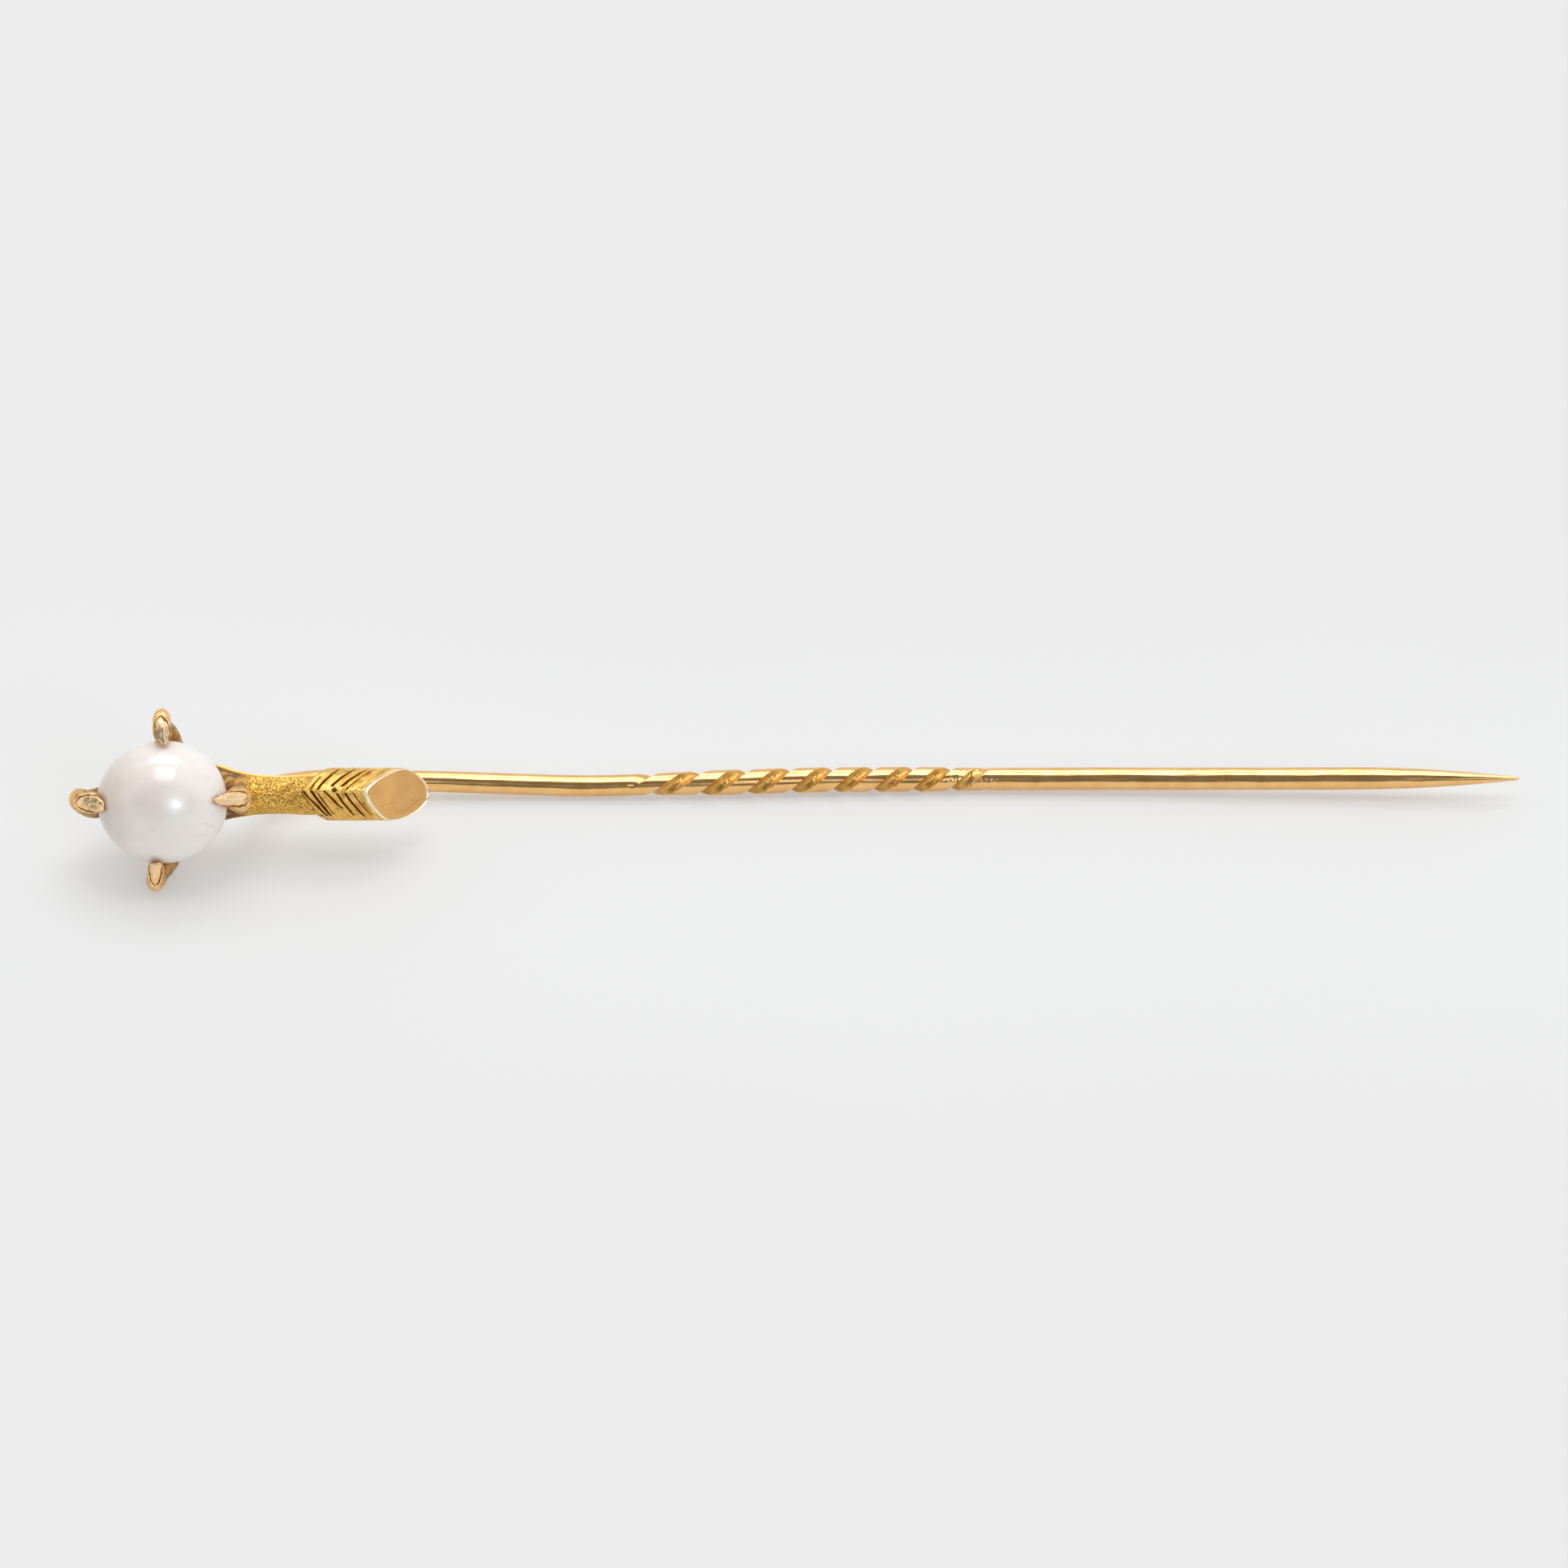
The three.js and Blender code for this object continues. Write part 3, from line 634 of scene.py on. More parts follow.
def outside_nail(claw, u, length, x, flat):
    """How far each point of the toe is outside the nail's outline."""
    low, high = nail_edges((u / length).clip(0, 1), claw)
    beside = np.maximum(low[:, None] - x, x - high[:, None])
    outside = np.where(u[:, None] < 0, np.hypot(beside.clip(0), u[:, None]), beside)
    return outside + 0.03 * uneven(flat, 0.25)


def hood_folds(claw, outside, flat):
    """The wrinkles of the hood, which run round the nail and fade away from it."""
    waves = np.cos(2 * np.pi * (outside / FOLD_SPACING + 0.5 * uneven(flat + 3.1, 0.5)))
    patchy = 0.3 + smoothstep(uneven(flat + 9.7, 0.4), -0.3, 0.4)
    return claw["rough"] * waves * smoothstep(outside, 0.1, 0.16) * np.exp(-outside.clip(0) / 0.3) * patchy


def toe_painted_shade(claw, u, c, s, outside):
    """Painted shade on a toe's flanks, its sole, its hood and the part behind the knuckle."""
    past = past_knuckle(u)[:, None]
    flanks = 0.3 * smoothstep(np.abs(c), 0.75, 0.97) * past
    sole = 0.45 * smoothstep(-s, 0.1, 0.9) * past
    behind = 0.65 * smoothstep(-u, 0.45, 1.0)[:, None]
    hood = claw["hood_shade"] * smoothstep(outside, 0.12, 0.3) * smoothstep(u, -0.6, 0.1)[:, None]
    return flanks + sole + behind + hood


def make_toe(name):
    """A toe whose end is a hood round the nail: a rim, a groove inside it painted dark as shade, and the
    nail's bed.
    """
    claw = CLAWS[name]
    line, u = claw_line(name)
    length = u[-1]
    keep = u < claw["sheath"] * length
    path = respaced(line[keep], np.where(u[keep] > -0.9, 0.0135, 0.045))
    u = u[0] + distances_along(path)
    side, up = frames_along(path, unit(path))
    around = circle(176)
    c, s = np.cos(around), np.sin(around)
    x, y = toe_section(claw, u, length, c, s)
    flat = joined(x, 0, u[:, None])
    outside = outside_nail(claw, u, length, x, flat)
    on_top = s > 0.02
    bed = (nail_top(u, length) - NAIL_BED_DEPTH)[:, None]
    in_bed = (1 - smoothstep(outside, 0.005, 0.04)) * on_top
    crest = 0.035 * bell(outside - HOOD_RIM, 0.05)
    folds = hood_folds(claw, outside, flat)
    y = np.where(on_top, y + (crest + folds) * smoothstep(s, 0.02, 0.4), y)
    y = y * (1 - in_bed) + np.minimum(y, bed) * in_bed
    points = rings(path, side, up, x, y)
    facets = np.abs(uneven(points, 0.42)) - 0.3 + 0.6 * uneven(points + 7, 0.2)
    lumps = claw["rough"] * facets + 0.004 * uneven(points, 0.08)
    points = points + surface_normals(points) * (lumps * rounded_end(u) * (1 - 0.7 * in_bed))[..., None]
    # Painted shade in the nail's bed and in the troughs of the hood's folds, then on the flanks, sole, hood
    # and behind the knuckle, with random mottling.
    patina_and_shade = 0.8 * in_bed + 0.5 * smoothstep(-folds, 0.004, 0.02) * on_top
    patina_and_shade = patina_and_shade + toe_painted_shade(claw, u, c, s, outside)
    patina_and_shade = patina_and_shade * (1 + 0.4 * uneven(points, 0.5)) + 0.15 * uneven(points + 5, 0.22)
    # The hood's rim crest is painted pale in patches as a highlight.
    rim = bell(outside - HOOD_RIM, 0.06) * on_top
    wear_and_highlight = 0.55 * rim * smoothstep(uneven(flat + 2.2, 0.5), -0.25, 0.35)
    points = off_the_pearl(points)
    add_piece(f"toe_{name}_body", f"toe_{name}", "yellow_gold", points, patina_and_shade=patina_and_shade, wear_and_highlight=wear_and_highlight)


# The front nail's small pit, across and along it, and the channel and scored line from it to the tip.
NAIL_PIT = (-0.08, 0.72)
NAIL_CHANNEL = -0.1
NAIL_SCORE = -0.03


def nail_face(name, across, s, x, along):
    """The relief of a nail's face: a roof with its ridge off centre, streaks, and what only one nail has."""
    place, steep, streaked = CLAWS[name]["ridge"]
    relief = -steep * np.abs(across - place) + 0.5 * steep
    lengthwise = joined(x, along * 0.16, 0)
    streaks = 0.024 * uneven(lengthwise, 0.1) + 0.036 * uneven(lengthwise + 4.4, 0.24)
    relief = relief + streaked * streaks
    if name == "front":
        beyond = along - NAIL_PIT[1]
        pit = np.hypot((x - NAIL_PIT[0]) * 1.3, beyond)
        channel = bell(x - NAIL_CHANNEL + 0.06 * beyond, 0.045) * smoothstep(along, 0.74, 0.84)
        score = bell(x - NAIL_SCORE + 0.03 * beyond, 0.018) * smoothstep(along, 0.7, 0.84)
        relief = relief - 0.09 * bell(pit, 0.06) - 0.02 * channel - 0.022 * score
    if name == "hind":
        step = smoothstep(across, -0.42, -0.3) * (1 - smoothstep(across, -0.2, 0.1))
        relief = relief - 0.035 * step * smoothstep(s, 0.12, 0.25) * (1 - smoothstep(s, 0.6, 0.75))
    return relief


def make_talon(name):
    """A nail laid in the toe's end, faceted as if cut by hand, running on to the pearl."""
    claw = CLAWS[name]
    line, u = claw_line(name)
    length = u[-1]
    path = curve_through(line[u > 0][::10], 150)
    s = np.linspace(0.0, 1, len(path))
    along = (s * length)[:, None]
    side, up = frames_along(path, unit(path))
    around = circle(120)
    low, high = (softened(edge, 3)[:, None] for edge in nail_edges(s, claw))
    across = squared(np.cos(around), 0.8)
    edge = 1 + 0.08 * uneven(joined(across * 2, 0, along * 6), 1.2)
    half = (high - low) / 2
    x = (low + high) / 2 + half * across * edge
    thin = np.minimum(half / 0.2, 1)
    relief = nail_face(name, across, s[:, None], x, along)
    face = nail_top(along, length) + relief * thin
    is_top = np.sin(around) > 0
    wall = np.abs(np.sin(around)) ** 0.55
    y = face + np.where(is_top, 0.14 * wall - 0.105, -0.07 - 0.06 * wall)
    points = rings(path, side, up, x, y)
    dents = 0.02 * uneven(points, 0.33) + 0.008 * uneven(points, 0.14)
    points = points + surface_normals(points) * (dents * thin)[..., None]
    # lit is the nail face's relief: its ridge is painted pale as a highlight, its low facets and pits dark as
    # shade; the underside and the edges against the hood are painted dark as shade, with random mottling.
    lit = np.where(is_top, relief / 0.03, 0)
    patina_and_shade = 0.25 * (1 - is_top) + 0.7 * smoothstep(-lit, 0.8, 2.4) + 0.15 * uneven(points, 0.4)
    patina_and_shade = patina_and_shade + 0.3 * smoothstep(np.abs(across), 0.82, 1)
    wear_and_highlight = smoothstep(lit, 0.2, 1.6)
    points = off_the_pearl(points)
    add_piece(f"talon_{name}_body", f"talon_{name}", "rose_gold", points, patina_and_shade=patina_and_shade, wear_and_highlight=wear_and_highlight)


for claw_name in CLAWS:
    make_toe(claw_name)
    make_talon(claw_name)

# ---- The palm behind the pearl ----

TOE_BEARINGS = (1.63, np.pi, -1.66)  # the directions in which three toes leave the palm


def make_palm():
    """A cup over the back of the pearl, thick in the middle and drawn out along each toe and the shank."""
    around = circle(200)
    bearings = np.array(TOE_BEARINGS)[:, None]
    toe_pull = bell(np.angle(np.exp(1j * (around - bearings))), 0.42).max(axis=0)
    shank_pull = bell(np.angle(np.exp(1j * around)), 0.75)
    reach = np.radians(33 + 12 * toe_pull + 24 * shank_pull)
    share = np.linspace(0.004, 1, 120)[:, None]
    polar = share * reach
    directions = np.cos(polar)[..., None] * PALM_DIRECTION
    directions = directions + np.sin(polar)[..., None] * spokes_round_peg(around)
    rounding = np.sqrt(np.clip(1 - share**4, 0, 1))
    thick = 0.62 + 0.5 * bell(polar, 0.5) + 0.35 * shank_pull * smoothstep(share, 0.1, 0.7)
    outer = over_pearl(directions, 0.05 + thick * rounding)
    outer = outer + unit(outer) * (0.03 * uneven(outer, 0.5) * rounding)[..., None]
    inner = over_pearl(directions[::-1][1::4], 0.04)
    points = np.concatenate([outer, inner])
    patina_and_shade = 0.25 + 0.4 * uneven(points, 0.7)
    add_piece("foot_palm_body", "foot_palm", "yellow_gold", points, patina_and_shade=patina_and_shade)


# Along the palm's neck: place along the pin, depth behind the pearl, half width, half depth.
PALM_NECK = [
    (1.15, -3.2, 0.95, 0.5), (1.6, -3.12, 1.3, 0.82), (2.0, -3.02, 1.41, 0.94), (2.25, -2.93, 1.37, 0.97),
    (2.28, -2.92, 1.0, 0.64), (2.6, -2.76, 0.98, 0.62), (2.9, -2.62, 0.94, 0.6),
]


def make_palm_neck():
    """The collar between the palm and the shank, with a tongue that plugs the shank's open end."""
    rows = np.array(PALM_NECK)
    share = np.linspace(0, 1, 120)
    place = np.interp(share, np.linspace(0, 1, len(rows)), rows[:, 0])
    depth, half_width, half_depth = (np.interp(place, rows[:, 0], rows[:, i]) for i in (1, 2, 3))
    around = circle(160)
    y = LEG_SIDE + half_width[:, None] * np.cos(around)
    z = depth[:, None] + half_depth[:, None] * np.sin(around)
    points = joined(place[:, None], y, z)
    points = points + unit(points - [2, 0, -3]) * (0.02 * uneven(points, 0.4))[..., None]
    patina_and_shade = 0.45 + 0.5 * uneven(points, 0.5)
    add_piece("foot_palm_neck", "foot_palm", "yellow_gold", off_the_pearl(points), patina_and_shade=patina_and_shade)


make_palm()
make_palm_neck()

# ---- The shank ----


def make_shank_shell(name, sign):
    """Half of the hollow shank: grained on the outside, with a smooth strip along each seam.

    sign is 1 for the half on the pearl's front side and -1 for the half behind.
    """
    rows = curve_through(np.array(SHANK)[:, [0, 2, 3]], 300)
    depth = curve_through([(x, z, 0) for x, z, _, _ in SHANK], 300)
    path = joined(depth[:, 0], LEG_SIDE, depth[:, 1])
    half_width = np.interp(depth[:, 0], rows[:, 0], rows[:, 1])
    half_depth = np.interp(depth[:, 0], rows[:, 0], rows[:, 2])
    side, up = frames_along(path, (0, 0, 1))
    outer = np.linspace(0, np.pi, 250)
    inner = np.linspace(np.pi, 0, 40)
    angle = np.concatenate([outer, inner])
    is_outer = np.arange(len(angle)) < len(outer)
    inset = np.where(is_outer, 0, SHANK_WALL)
    x = (half_width[:, None] - inset) * np.cos(angle) * sign
    y = (SEAM_GAP + (half_depth[:, None] - inset - SEAM_GAP) * np.sin(angle)) * sign
    points = rings(path, side, up, x, y)
    outwards = unit(side[:, None] * x[..., None] + up[:, None] * y[..., None])
    from_seam = np.sin(angle) * half_depth[:, None]
    strip = smoothstep(from_seam, 0.17, 0.23) * is_outer
    bent = points + 0.04 * joined(*(uneven(points + k * 13.1, 0.12) for k in range(3)))
    worms = np.clip(1 - np.abs(uneven(bent, 0.088)) * 3.2, -0.6, 1)
    pebbles = uneven(points + 31.7, 0.055)
    grain = 0.024 * worms + 0.016 * pebbles
    start = smoothstep(path[:, 0] + 0.25 * uneven(points[:, 95], 0.5), 3.6, 4.25)[:, None]
    folds = 0.03 * uneven(points * [1, 2.5, 1], 0.6) + 0.012 * uneven(points * [1, 0.4, 1], 0.09)
    ridge = 0.045 * (1 - smoothstep(np.abs(from_seam - 0.12), 0.04, 0.09)) * is_outer
    height = grain * strip * start + folds * (1 - start) * strip + ridge
    points = points + outwards * height[..., None]
    pits = smoothstep(-grain, -0.012, 0.022) * start
    # Painted shade on the smooth end by the palm, which lies behind the pearl, and random mottling all along.
    shade_and_mottle = (0.5 + 0.5 * smoothstep(uneven(points, 0.3), -0.3, 0.4)) * (1 - start)
    shade_and_mottle = shade_and_mottle + 0.2 * (1 - start) + 0.35 * smoothstep(uneven(points + 17, 0.7), 0.1, 0.6)
    valley = bell(from_seam - 0.22, 0.04) * 0.55
    patina_and_shade = ((pits + shade_and_mottle) * strip + valley) * is_outer
    add_piece(f"{name}_body", f"{name}_shell", "grained_gold", points, patina_and_shade=patina_and_shade)


make_shank_shell("leg_front", 1)
make_shank_shell("leg_back", -1)

# ---- The feather cuff and its end plate ----


def diamond(angle):
    """The cuff's rounded-diamond outline at angles from its upper side, turned by the cuff's roll."""
    c, s = np.cos(angle), np.sin(angle)
    power = 2 / np.where(s > 0, CUFF_FRONT_EXPONENT, CUFF_BACK_EXPONENT)
    x = CUFF_HALF_WIDTH * squared(c, power)
    y = CUFF_HALF_DEPTH * squared(s, power)
    cosine, sine = math.cos(CUFF_ROLL), math.sin(CUFF_ROLL)
    return x * cosine + y * sine, y * cosine - x * sine


def even_diamond(count):
    """Points evenly round the outline, from the front ridge on, with their distances from a ridge."""
    fine = circle(4000) + np.pi / 2
    x, y = diamond(fine)
    steps = np.hypot(np.diff(x, append=x[:1]), np.diff(y, append=y[:1]))
    along = np.concatenate([[0], np.cumsum(steps)])
    wanted = np.linspace(0, along[-1], count, endpoint=False)
    angle = np.interp(wanted, along, np.append(fine, fine[0] + 2 * np.pi))
    to_front = np.minimum(wanted, along[-1] - wanted)
    to_ridge = np.minimum(to_front, along[-1] / 2 - to_front)
    return *diamond(angle), to_ridge, angle


# The cuts of the cuff's front flanks, above and below the ridge: where each leaves the ridge, how far it
# leans for each millimetre off it, its depth, and how far off the ridge it starts and stops.
UPPER_CUTS = [
    (0.44, 0.55, 0.07, 0.0, 1.0), (0.78, 0.62, 0.12, 0.0, 1.8), (1.3, 0.78, 0.13, 0.22, 1.8),
    (1.5, 0.75, 0.05, 0.5, 1.8), (1.8, 0.84, 0.12, 0.2, 1.5), (2.0, 0.7, 0.06, 0.5, 1.8),
    (2.16, 0.85, 0.07, 0.0, 1.8), (2.36, 0.8, 0.05, 0.05, 1.8), (2.52, 0.82, 0.045, 0.1, 1.8),
    (2.67, 0.8, 0.04, 0.0, 1.8), (2.82, 0.82, 0.045, 0.05, 1.8), (2.96, 0.8, 0.035, 0.0, 1.8),
]
LOWER_CUTS = [
    (0.07, 0.8, 0.12, 0.0, 1.6), (0.48, 0.64, 0.13, 0.0, 1.6), (0.72, 0.62, 0.07, 0.1, 1.5),
    (1.12, 0.85, 0.09, 0.0, 1.1), (1.3, 0.62, 0.05, 0.3, 1.6), (1.63, 0.62, 0.1, 0.15, 1.6),
    (2.03, 0.66, 0.11, 0.12, 1.6), (2.22, 0.62, 0.045, 0.3, 1.6), (2.4, 0.68, 0.07, 0.1, 1.6),
    (2.58, 0.64, 0.045, 0.0, 1.6), (2.74, 0.7, 0.05, 0.1, 1.6), (2.9, 0.66, 0.04, 0.0, 1.6),
]
BACK_CUTS = [
    (0.1 + 0.36 * k + 0.07 * math.sin(5 * k), 0.66, 0.08 + 0.03 * math.sin(3 * k), 0.05, 1.7)
    for k in range(14)
]
SLIT_WIDTH = 0.042
FACET_WIDTH = 0.16
CUFF_PIT = 1.62  # a small lozenge sunk in the ridge, from the cuff's start
EDGE_LEAN = 0.64  # how far the front edge runs back for each millimetre off the ridge
CUFF_THROAT = 1.06  # the cuff's reach at its front edge, where it hugs the shank


def cut_depths(along, off, cuts):
    """How deep the cuts go at places along the ridge and off it: steep on one side, a facet on the other."""
    depth = 0.0
    wander = 0.03 * uneven(joined(along, off, 0), 0.5)
    for begin, lean, deep, low, high in cuts:
        away = (along - begin - lean * off + wander) / math.hypot(1, lean)
        slit = bell(away, SLIT_WIDTH)
        facet = np.where(away > 0, np.exp(-away.clip(0) / FACET_WIDTH), slit)
        reach = smoothstep(off, low - 0.05, low + 0.06) * (1 - smoothstep(off, high - 0.15, high + 0.03))
        depth = np.maximum(depth, deep * (0.5 * slit + 0.5 * facet) * reach)
    return depth


SHARP = 50  # degrees between faces that makes an edge crisp
RIM_PAINTED_SHADE = (0, 0, 0.5, 0.5, 0.5)  # painted shade of the rings behind the outer surface: four on the rim, one inside; the last two on the rim, down its inner wall, and the one inside are darkened


def lip_inset(x, y):
    """How wide the cut end's polished rim is: narrowest low down at the back."""
    return 0.1 - 0.035 * smoothstep((-0.8 * x - 0.6 * y) / np.hypot(x, y), 0.0, 0.6)


def on_cuff_axis(along, x, y):
    return joined(along, x + CUFF_AXIS[0], y + CUFF_AXIS[1])


def cuff_depths(place, off, is_upper, is_front, fade):
    """The depth of the engraved cuts and of the lozenge."""
    depth = np.where(is_upper, cut_depths(place, off, UPPER_CUTS), cut_depths(place, off, LOWER_CUTS))
    depth = np.where(is_front, depth, cut_depths(place, off, BACK_CUTS))
    pit = np.exp(-((np.abs(place - CUFF_PIT) / 0.13 + np.abs(off) / 0.15) ** 4)) * 0.1 * is_front
    return np.maximum(depth * fade, pit)


def cuff_rim(x, y, radius, start):
    """The rim of the cut end, its inner wall, and the mouth of the cuff's inside at the front."""
    rows = []
    rim = lip_inset(x, y)
    for inset, back in ((rim * 0.96, -0.012), (rim, -0.004), (rim + 0.008, 0.03), (rim + 0.02, 0.35)):
        shrink = 1 - inset / radius
        rows.append(on_cuff_axis(CUT_MIDDLE - CUT_SLOPE * y * shrink - back, x * shrink, y * shrink))
    rows.append(on_cuff_axis(start + 0.02, x * 0.8, y * 0.8))
    return rows


def make_cuff():
    """The feathered thigh: engraved flanks, a tucked-in front edge, and a bevel and a rim at the cut end."""
    x, y, to_ridge, angle = even_diamond(400)
    is_upper = np.cos(angle) > 0
    is_front = np.sin(angle) > 0
    start = CUFF_START + EDGE_LEAN * np.where(is_front, 1, 0.9) * to_ridge
    end = CUT_MIDDLE - CUT_SLOPE * y
    along = start + (end - start) * np.linspace(0, 1, 232)[:, None]
    from_start = along - start
    from_end = end - along
    place = along - CUFF_START
    fade = smoothstep(from_start, 0.0, 0.12) * smoothstep(from_end, 0.03, 0.12)
    depth = cuff_depths(place, to_ridge, is_upper, is_front, fade)
    frost = joined(along, x, y)
    hairs = joined(place - 0.68 * to_ridge, to_ridge * 0.13, is_upper * 7.0)
    barbs = 0.008 * uneven(frost, 0.1) + 0.014 * uneven(frost, 0.33) + 0.022 * uneven(hairs, 0.085)
    bevel = lip_inset(x, y) * (1 - (from_end / 0.11).clip(0, 1))
    radius = np.hypot(x, y)
    tucked = np.minimum(radius * 0.98, CUFF_THROAT)
    swelling = tucked + (radius - tucked) * smoothstep(from_start, -0.02, 0.22)
    grow = (swelling + barbs * fade - depth - bevel) / radius
    points = np.concatenate([on_cuff_axis(along, x * grow, y * grow), cuff_rim(x, y, radius, start)])
    # Darker in the engraved cuts and the barbs' hollows, as patina and painted shade; painted shade on the
    # lower flank; random mottling; painted shade on the tucked-in front edge against the shank.
    patina_and_shade = smoothstep(depth, 0.03, 0.07) + 0.45 * smoothstep(-barbs, 0.0, 0.02) * fade
    patina_and_shade = patina_and_shade + (0.06 + 0.06 * (~is_upper) + 0.25 * uneven(frost, 0.4)) * fade
    patina_and_shade = np.maximum(patina_and_shade, 0.8 * (1 - smoothstep(from_start, 0.0, 0.05)))
    # Painted highlight on the cut end's rim and on the barbs' raised parts, and on all the rings behind the
    # outer surface.
    wear_and_highlight = 0.9 * (1 - smoothstep(from_end, 0.05, 0.12)) + 0.35 * smoothstep(barbs, 0.004, 0.03) * fade
    patina_and_shade = np.concatenate([patina_and_shade, np.array(RIM_PAINTED_SHADE)[:, None] + 0 * x])
    wear_and_highlight = np.concatenate([wear_and_highlight, np.full((len(RIM_PAINTED_SHADE), len(x)), 0.8)])
    add_piece("feather_cuff_body", "feather_cuff", "engraved_gold", points, SHARP, patina_and_shade, wear_and_highlight)


# Scratches in the cut end's plate: how deep each is, and its course sideways and down the slope.
PLATE_SCRATCHES = [
    (0.012, [(-0.88, 0.1, 0), (-0.86, -0.35, 0), (-0.74, -0.75, 0), (-0.54, -1.1, 0), (-0.3, -1.36, 0)]),
    (0.008, [(-0.96, 0.6, 0), (-0.98, 0.1, 0), (-0.93, -0.4, 0), (-0.8, -0.85, 0)]),
    (0.009, [(-0.55, 1.1, 0), (-0.5, 0.75, 0), (-0.42, 0.2, 0)]),
]
PLATE_PIT = (-0.37, -0.98)


def make_plate():
    """The flat plate in the cut end, a little hollow, with fine scratches in it."""
    x, y, _, _ = even_diamond(300)
    radius = np.hypot(x, y)
    outline = 1 - (lip_inset(x, y) + 0.01) / radius
    shares = np.concatenate([np.linspace(0.01, 0.975, 190), [0.985, 0.993, 1.0, 1.0]])[:, None]
    px = x * shares * outline
    py = y * shares * outline
    run = py * math.hypot(1, CUT_SLOPE)
    flat = joined(px, run, 0)
    marks = sum(deep * bell(off_line(flat, line), 0.02) for deep, line in PLATE_SCRATCHES)
    pit = 0.03 * bell(np.hypot(px - PLATE_PIT[0], run - PLATE_PIT[1]), 0.04)
    swell = 0.01 * uneven(flat, 0.7) + 0.0015 * uneven(flat, 0.08)
    hollow = 0.03 * (1 - shares**2)
    edge = 0.008 * smoothstep(shares, 0.96, 1.0)
    depth = swell - hollow - marks - pit - edge - 0.01
    depth[-1] -= 0.25
    normal = unit(np.array([1, 0, CUT_SLOPE]))
    points = on_cuff_axis(CUT_MIDDLE - CUT_SLOPE * py, px, py) + normal * depth[..., None]
    patina_and_shade = 35 * (marks + pit) + 0.35 * smoothstep(shares, 0.985, 1.0)
    add_piece("cut_end_body", "cut_end_plate", "satin_gold", points[::-1], SHARP, patina_and_shade[::-1])


make_cuff()
make_plate()

# ---- The stem and its solder ----

GROOVE_SHARP = 45


def stem_path(count):
    """The wire's middle line, from under the shank down the neck and along the table."""
    return curve_through([*NECK, *to_head(np.array(LYING) + STEM_LINE)], count)


def stem_radius(x):
    """The wire's radius: it swells at the twist, and tapers to the tip."""
    taper = np.clip((x - TAPER_START) / (TIP - TAPER_START), 0, 1)
    upper = STEM_RADIUS + (TWIST_RADIUS - STEM_RADIUS) * smoothstep(x, TWIST_START - 1, TWIST_START + 4)
    radius = upper + (SHAFT_RADIUS - upper) * smoothstep(x, TWIST_END - 3, TWIST_END)
    return radius + (TIP_RADIUS - radius) * taper**2


def twist_angle(x):
    """How far the grooves have turned round the wire, which is a little faster towards the twist's end."""
    beyond = np.clip(x, TWIST_START - TWIST_RUN_IN, TWIST_END + TWIST_RUN_IN) - TWIST_FIRST_GROOVE
    return np.pi / 2 - np.pi * (beyond / TWIST_HALF_PITCH + TWIST_TIGHTENING * beyond**2)


def make_stem():
    """The wire, with two opposite grooves cut along the twist, rough inside and crisp at their edges."""
    coarse = stem_path(6000)
    x = coarse[:, 0]
    twisted = (x > TWIST_START - 1.5) & (x < TWIST_END + 1.3)
    spacing = np.where(twisted, 0.032, np.where(x < 9, 0.08, np.where(x > TIP - 1, 0.03, 0.22)))
    path = respaced(coarse, spacing)
    side, up = frames_along(path, (0, 0, 1))
    x = path[:, 0]
    around = circle(132)
    run_in = smoothstep(x, TWIST_START - TWIST_RUN_IN, TWIST_START + TWIST_RUN_IN)
    run_out = 1 - smoothstep(x, TWIST_END - TWIST_RUN_IN, TWIST_END + TWIST_RUN_IN)
    cut = (run_in * run_out)[:, None]
    off = np.abs(np.arcsin(np.sin(around)))
    bowl = np.clip(1 - (off / GROOVE_HALF_ANGLE) ** 2, 0, 1) ** 0.7
    angle = around + twist_angle(x)[:, None]
    radius = stem_radius(x)[:, None] - GROOVE_DEPTH * bowl * cut
    tip = np.clip((x - (TIP - TIP_ROUNDING)) / TIP_ROUNDING, 0, 1)
    radius = radius * np.sqrt(1 - 0.96 * tip**2)[:, None]
    points = rings(path, side, up, radius * np.cos(angle), radius * np.sin(angle))
    floor = smoothstep(bowl, 0.02, 0.2) * cut
    pits = 0.014 * uneven(points, 0.17) + 0.013 * uneven(points + 9.1, 0.085)
    drawn = 0.004 * uneven(points * [0.18, 1, 1], 0.28) + 0.005 * uneven(points * [0.5, 1, 1], 1.1)
    streaks = 0.0022 * uneven(points * [0.06, 1, 1], 0.07)
    wear_and_highlight = 0.012 * uneven(points, 0.13) * bell(x - TWIST_END + 0.5, 1.3)[:, None]
    fine = 1 - tip[:, None]
    out = unit(points - path[:, None])
    points = points + out * ((pits * floor + (drawn + streaks + wear_and_highlight) * (1 - floor)) * fine)[..., None]
    patina_and_shade = floor * (0.75 + 0.35 * uneven(points, 0.25)) + 0.6 * smoothstep(-wear_and_highlight, 0.002, 0.008)
    add_piece("stem_wire", "stem", "wire_gold", points, GROOVE_SHARP, patina_and_shade)


# The solder's middle line: places along the shank and behind the pearl.
SOLDER_LINE = [(3.0, -3.05), (3.55, -3.22), (4.15, -3.4), (4.8, -3.1)]
SOLDER_HALF_WIDTH = 0.78
SOLDER_HALF_DEPTH = 0.42


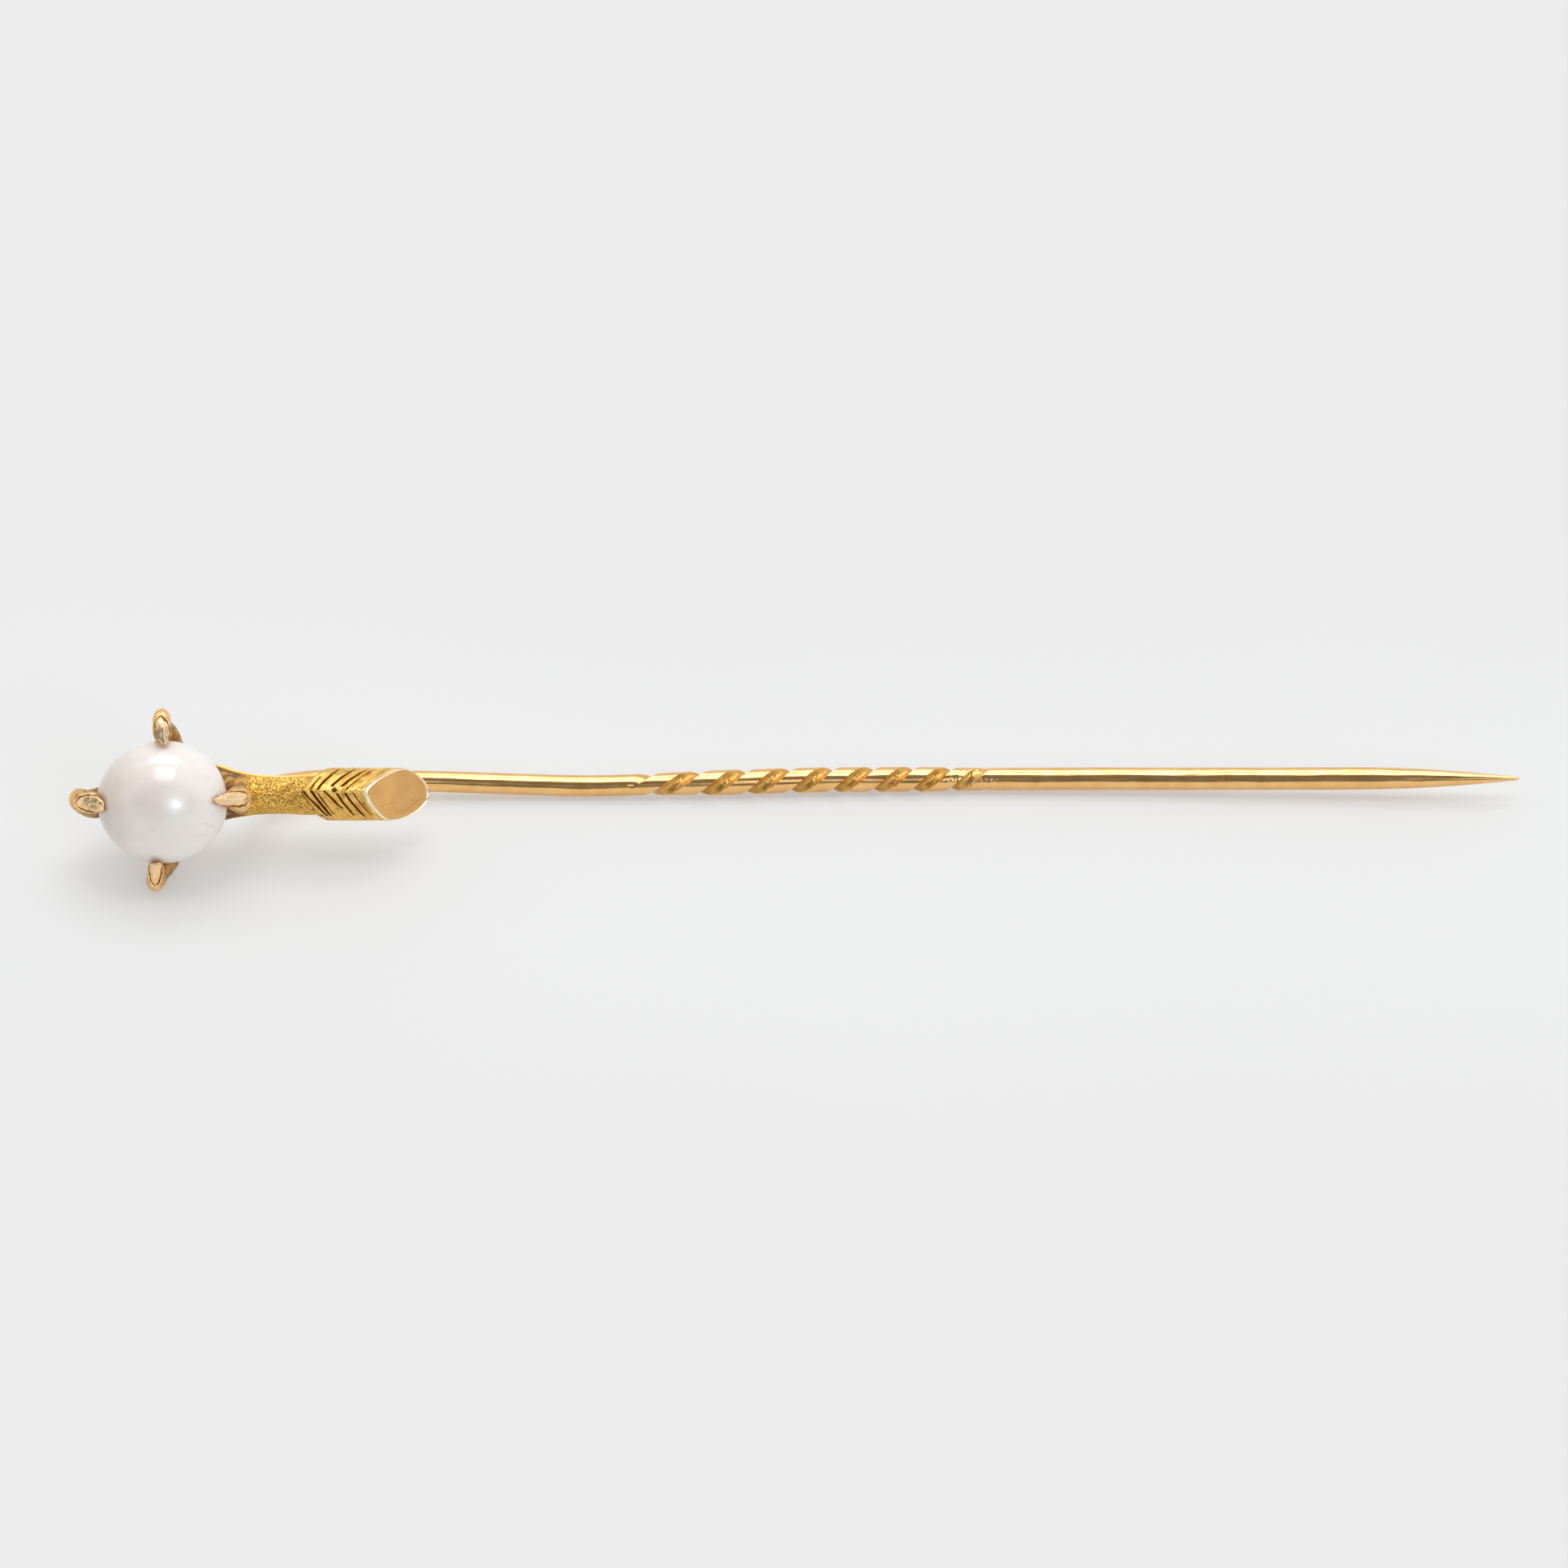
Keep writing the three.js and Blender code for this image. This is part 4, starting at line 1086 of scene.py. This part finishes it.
def make_solder():
    """A soft fillet where the wire meets the shank's back."""
    path = curve_through([(x, LEG_SIDE, z) for x, z in SOLDER_LINE], 60)
    side, up = frames_along(path, (0, 0, 1))
    around = circle(60)
    t = np.linspace(-1, 1, 60)
    swell = np.sqrt(np.clip(1 - t**2, 0, 1)) + 0.01
    x = SOLDER_HALF_WIDTH * swell[:, None] * np.cos(around)
    y = SOLDER_HALF_DEPTH * swell[:, None] * np.sin(around)
    points = rings(path, side, up, x, y)
    points = points + surface_normals(points) * (0.03 * uneven(points, 0.4))[..., None]
    add_piece("stem_solder_body", "stem_solder", "solder", points)


make_stem()
make_solder()

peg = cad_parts["pearl_peg"]
peg.data.materials.clear()
peg.data.materials.append(MATERIALS["yellow_gold"])

# ---- Table, light and camera ----

TABLE_HALF_SIZE = 12.0
GLOW_NEAR = 0.008  # metres in front of or behind the pin to which the table glows fully
GLOW_FAR = 0.03
TABLE_GLOW = 0.358
LIGHT_DISTANCE = 2.5
SIDE_TILT = 0.1  # how much brighter the right is than the left
# The world's brightness from the front horizon (0) to the back horizon (1).
WORLD_LEVELS = [(0.0, 0.18), (0.26, 0.2), (0.35, 0.56), (0.43, 0.82), (0.7, 0.92), (1.0, 0.8)]
# Each softbox: name, shape, angles over and beside the pin, width, height, radiance and colour.
LIGHTS = [
    ("overhead", "RECTANGLE", 87, 2, 1.3, 1.15, 2.6, (1, 1, 1)),
    ("back_top", "RECTANGLE", 119, 1, 1.8, 0.8, 2.2, (1, 1, 1)),
    ("left_card", "RECTANGLE", 40, -66, 1.2, 1.6, 0.45, (1, 1, 1)),
    ("front_core", "DISK", 28, 21, 0.8, 0.8, 4.6, (0.78, 0.88, 1)),
    ("front_halo", "DISK", 28, 21, 1.7, 1.7, 0.9, (0.86, 0.93, 1)),
]
CAMERA_ELEVATION = math.radians(33)
CAMERA_DISTANCE = 2.0
CAMERA_AIM = Vector((-0.546, 4.851, 0.315)) * MM
VIEW_WIDTH = 0.07564  # metres across the picture at the aim
SENSOR_WIDTH = 36


def make_floor():
    """A pale table lit a little from below, which softens the shadows on it."""
    size = TABLE_HALF_SIZE
    mesh = bpy.data.meshes.new("table")
    corners = [(-size, -size, 0), (size, -size, 0), (size, size, 0), (-size, size, 0)]
    mesh.from_pydata(corners, [], [(0, 1, 2, 3)])
    floor = placed("table", mesh)
    nodes = Surface("table_paper")
    nodes.set(Roughness=0.45, Specular_IOR_Level=0.25, Emission_Strength=TABLE_GLOW)
    mottle = nodes.noise(0.02, detail=2)
    tint = nodes.ramp(mottle, [(0.3, (0.445, 0.445, 0.442)), (0.7, (0.455, 0.455, 0.452))])
    nodes.link(tint, nodes.shader.inputs["Base Color"])
    away = nodes.add("ShaderNodeMath", operation="ABSOLUTE")
    nodes.link(nodes.split(nodes.place)["Y"], away.inputs[0])
    band = nodes.mapped(away.outputs[0], GLOW_NEAR, GLOW_FAR, 0, 1)
    glow = nodes.ramp(band, [(0.0, (1.0, 1.0, 1.0)), (1.0, (0.93, 0.93, 0.915))])
    nodes.link(glow, nodes.shader.inputs["Emission Color"])
    mesh.materials.append(nodes.material)


def area_light(name, shape, elevation, sideways, width, height, radiance, colour):
    """A softbox that faces the pin, from front (0) over the top (90) to back (180), and off to its right."""
    e, a = math.radians(elevation), math.radians(sideways)
    direction = Vector((math.sin(a), -math.cos(a) * math.cos(e), math.cos(a) * math.sin(e)))
    data = bpy.data.lights.new(name, "AREA")
    data.shape = shape
    data.size = width
    data.size_y = height
    data.energy = radiance * math.pi * width * height
    data.color = colour
    light = placed(name, data)
    light.location = direction * LIGHT_DISTANCE
    right = (Vector((1, 0, 0)) - direction * direction.x).normalized()
    light.rotation_euler = Matrix((right, direction.cross(right), direction)).transposed().to_euler()


def make_world():
    """A pale studio that is dark only on the side where the photographer stands."""
    world = bpy.data.worlds.new("studio")
    bpy.context.scene.world = world
    world.use_nodes = True
    nodes = Nodes(world.node_tree)
    output = nodes.add("ShaderNodeOutputWorld")
    background = nodes.add("ShaderNodeBackground")
    direction = nodes.split(nodes.coordinates.outputs["Generated"])
    level = nodes.ramp(nodes.mapped(direction["Y"], -1, 1, 0, 1), WORLD_LEVELS)
    tilt = nodes.mapped(direction["X"], -1, 1, 1 - SIDE_TILT, 1 + SIDE_TILT)
    nodes.link(tilt, background.inputs["Strength"])
    nodes.link(level, background.inputs["Color"])
    nodes.link(background.outputs[0], output.inputs["Surface"])


def make_camera():
    """A camera in front of the pin that looks down at it."""
    data = bpy.data.cameras.new("camera")
    data.sensor_width = SENSOR_WIDTH
    data.lens = SENSOR_WIDTH * CAMERA_DISTANCE / VIEW_WIDTH
    data.clip_end = 100
    camera = placed("camera", data)
    towards = Vector((0, -math.cos(CAMERA_ELEVATION), math.sin(CAMERA_ELEVATION)))
    camera.location = CAMERA_AIM + towards * CAMERA_DISTANCE
    camera.rotation_euler = towards.to_track_quat("Z", "Y").to_euler()
    bpy.context.scene.camera = camera


make_floor()
make_world()
for light_settings in LIGHTS:
    area_light(*light_settings)
make_camera()
bpy.context.scene.view_settings.view_transform = "Standard"
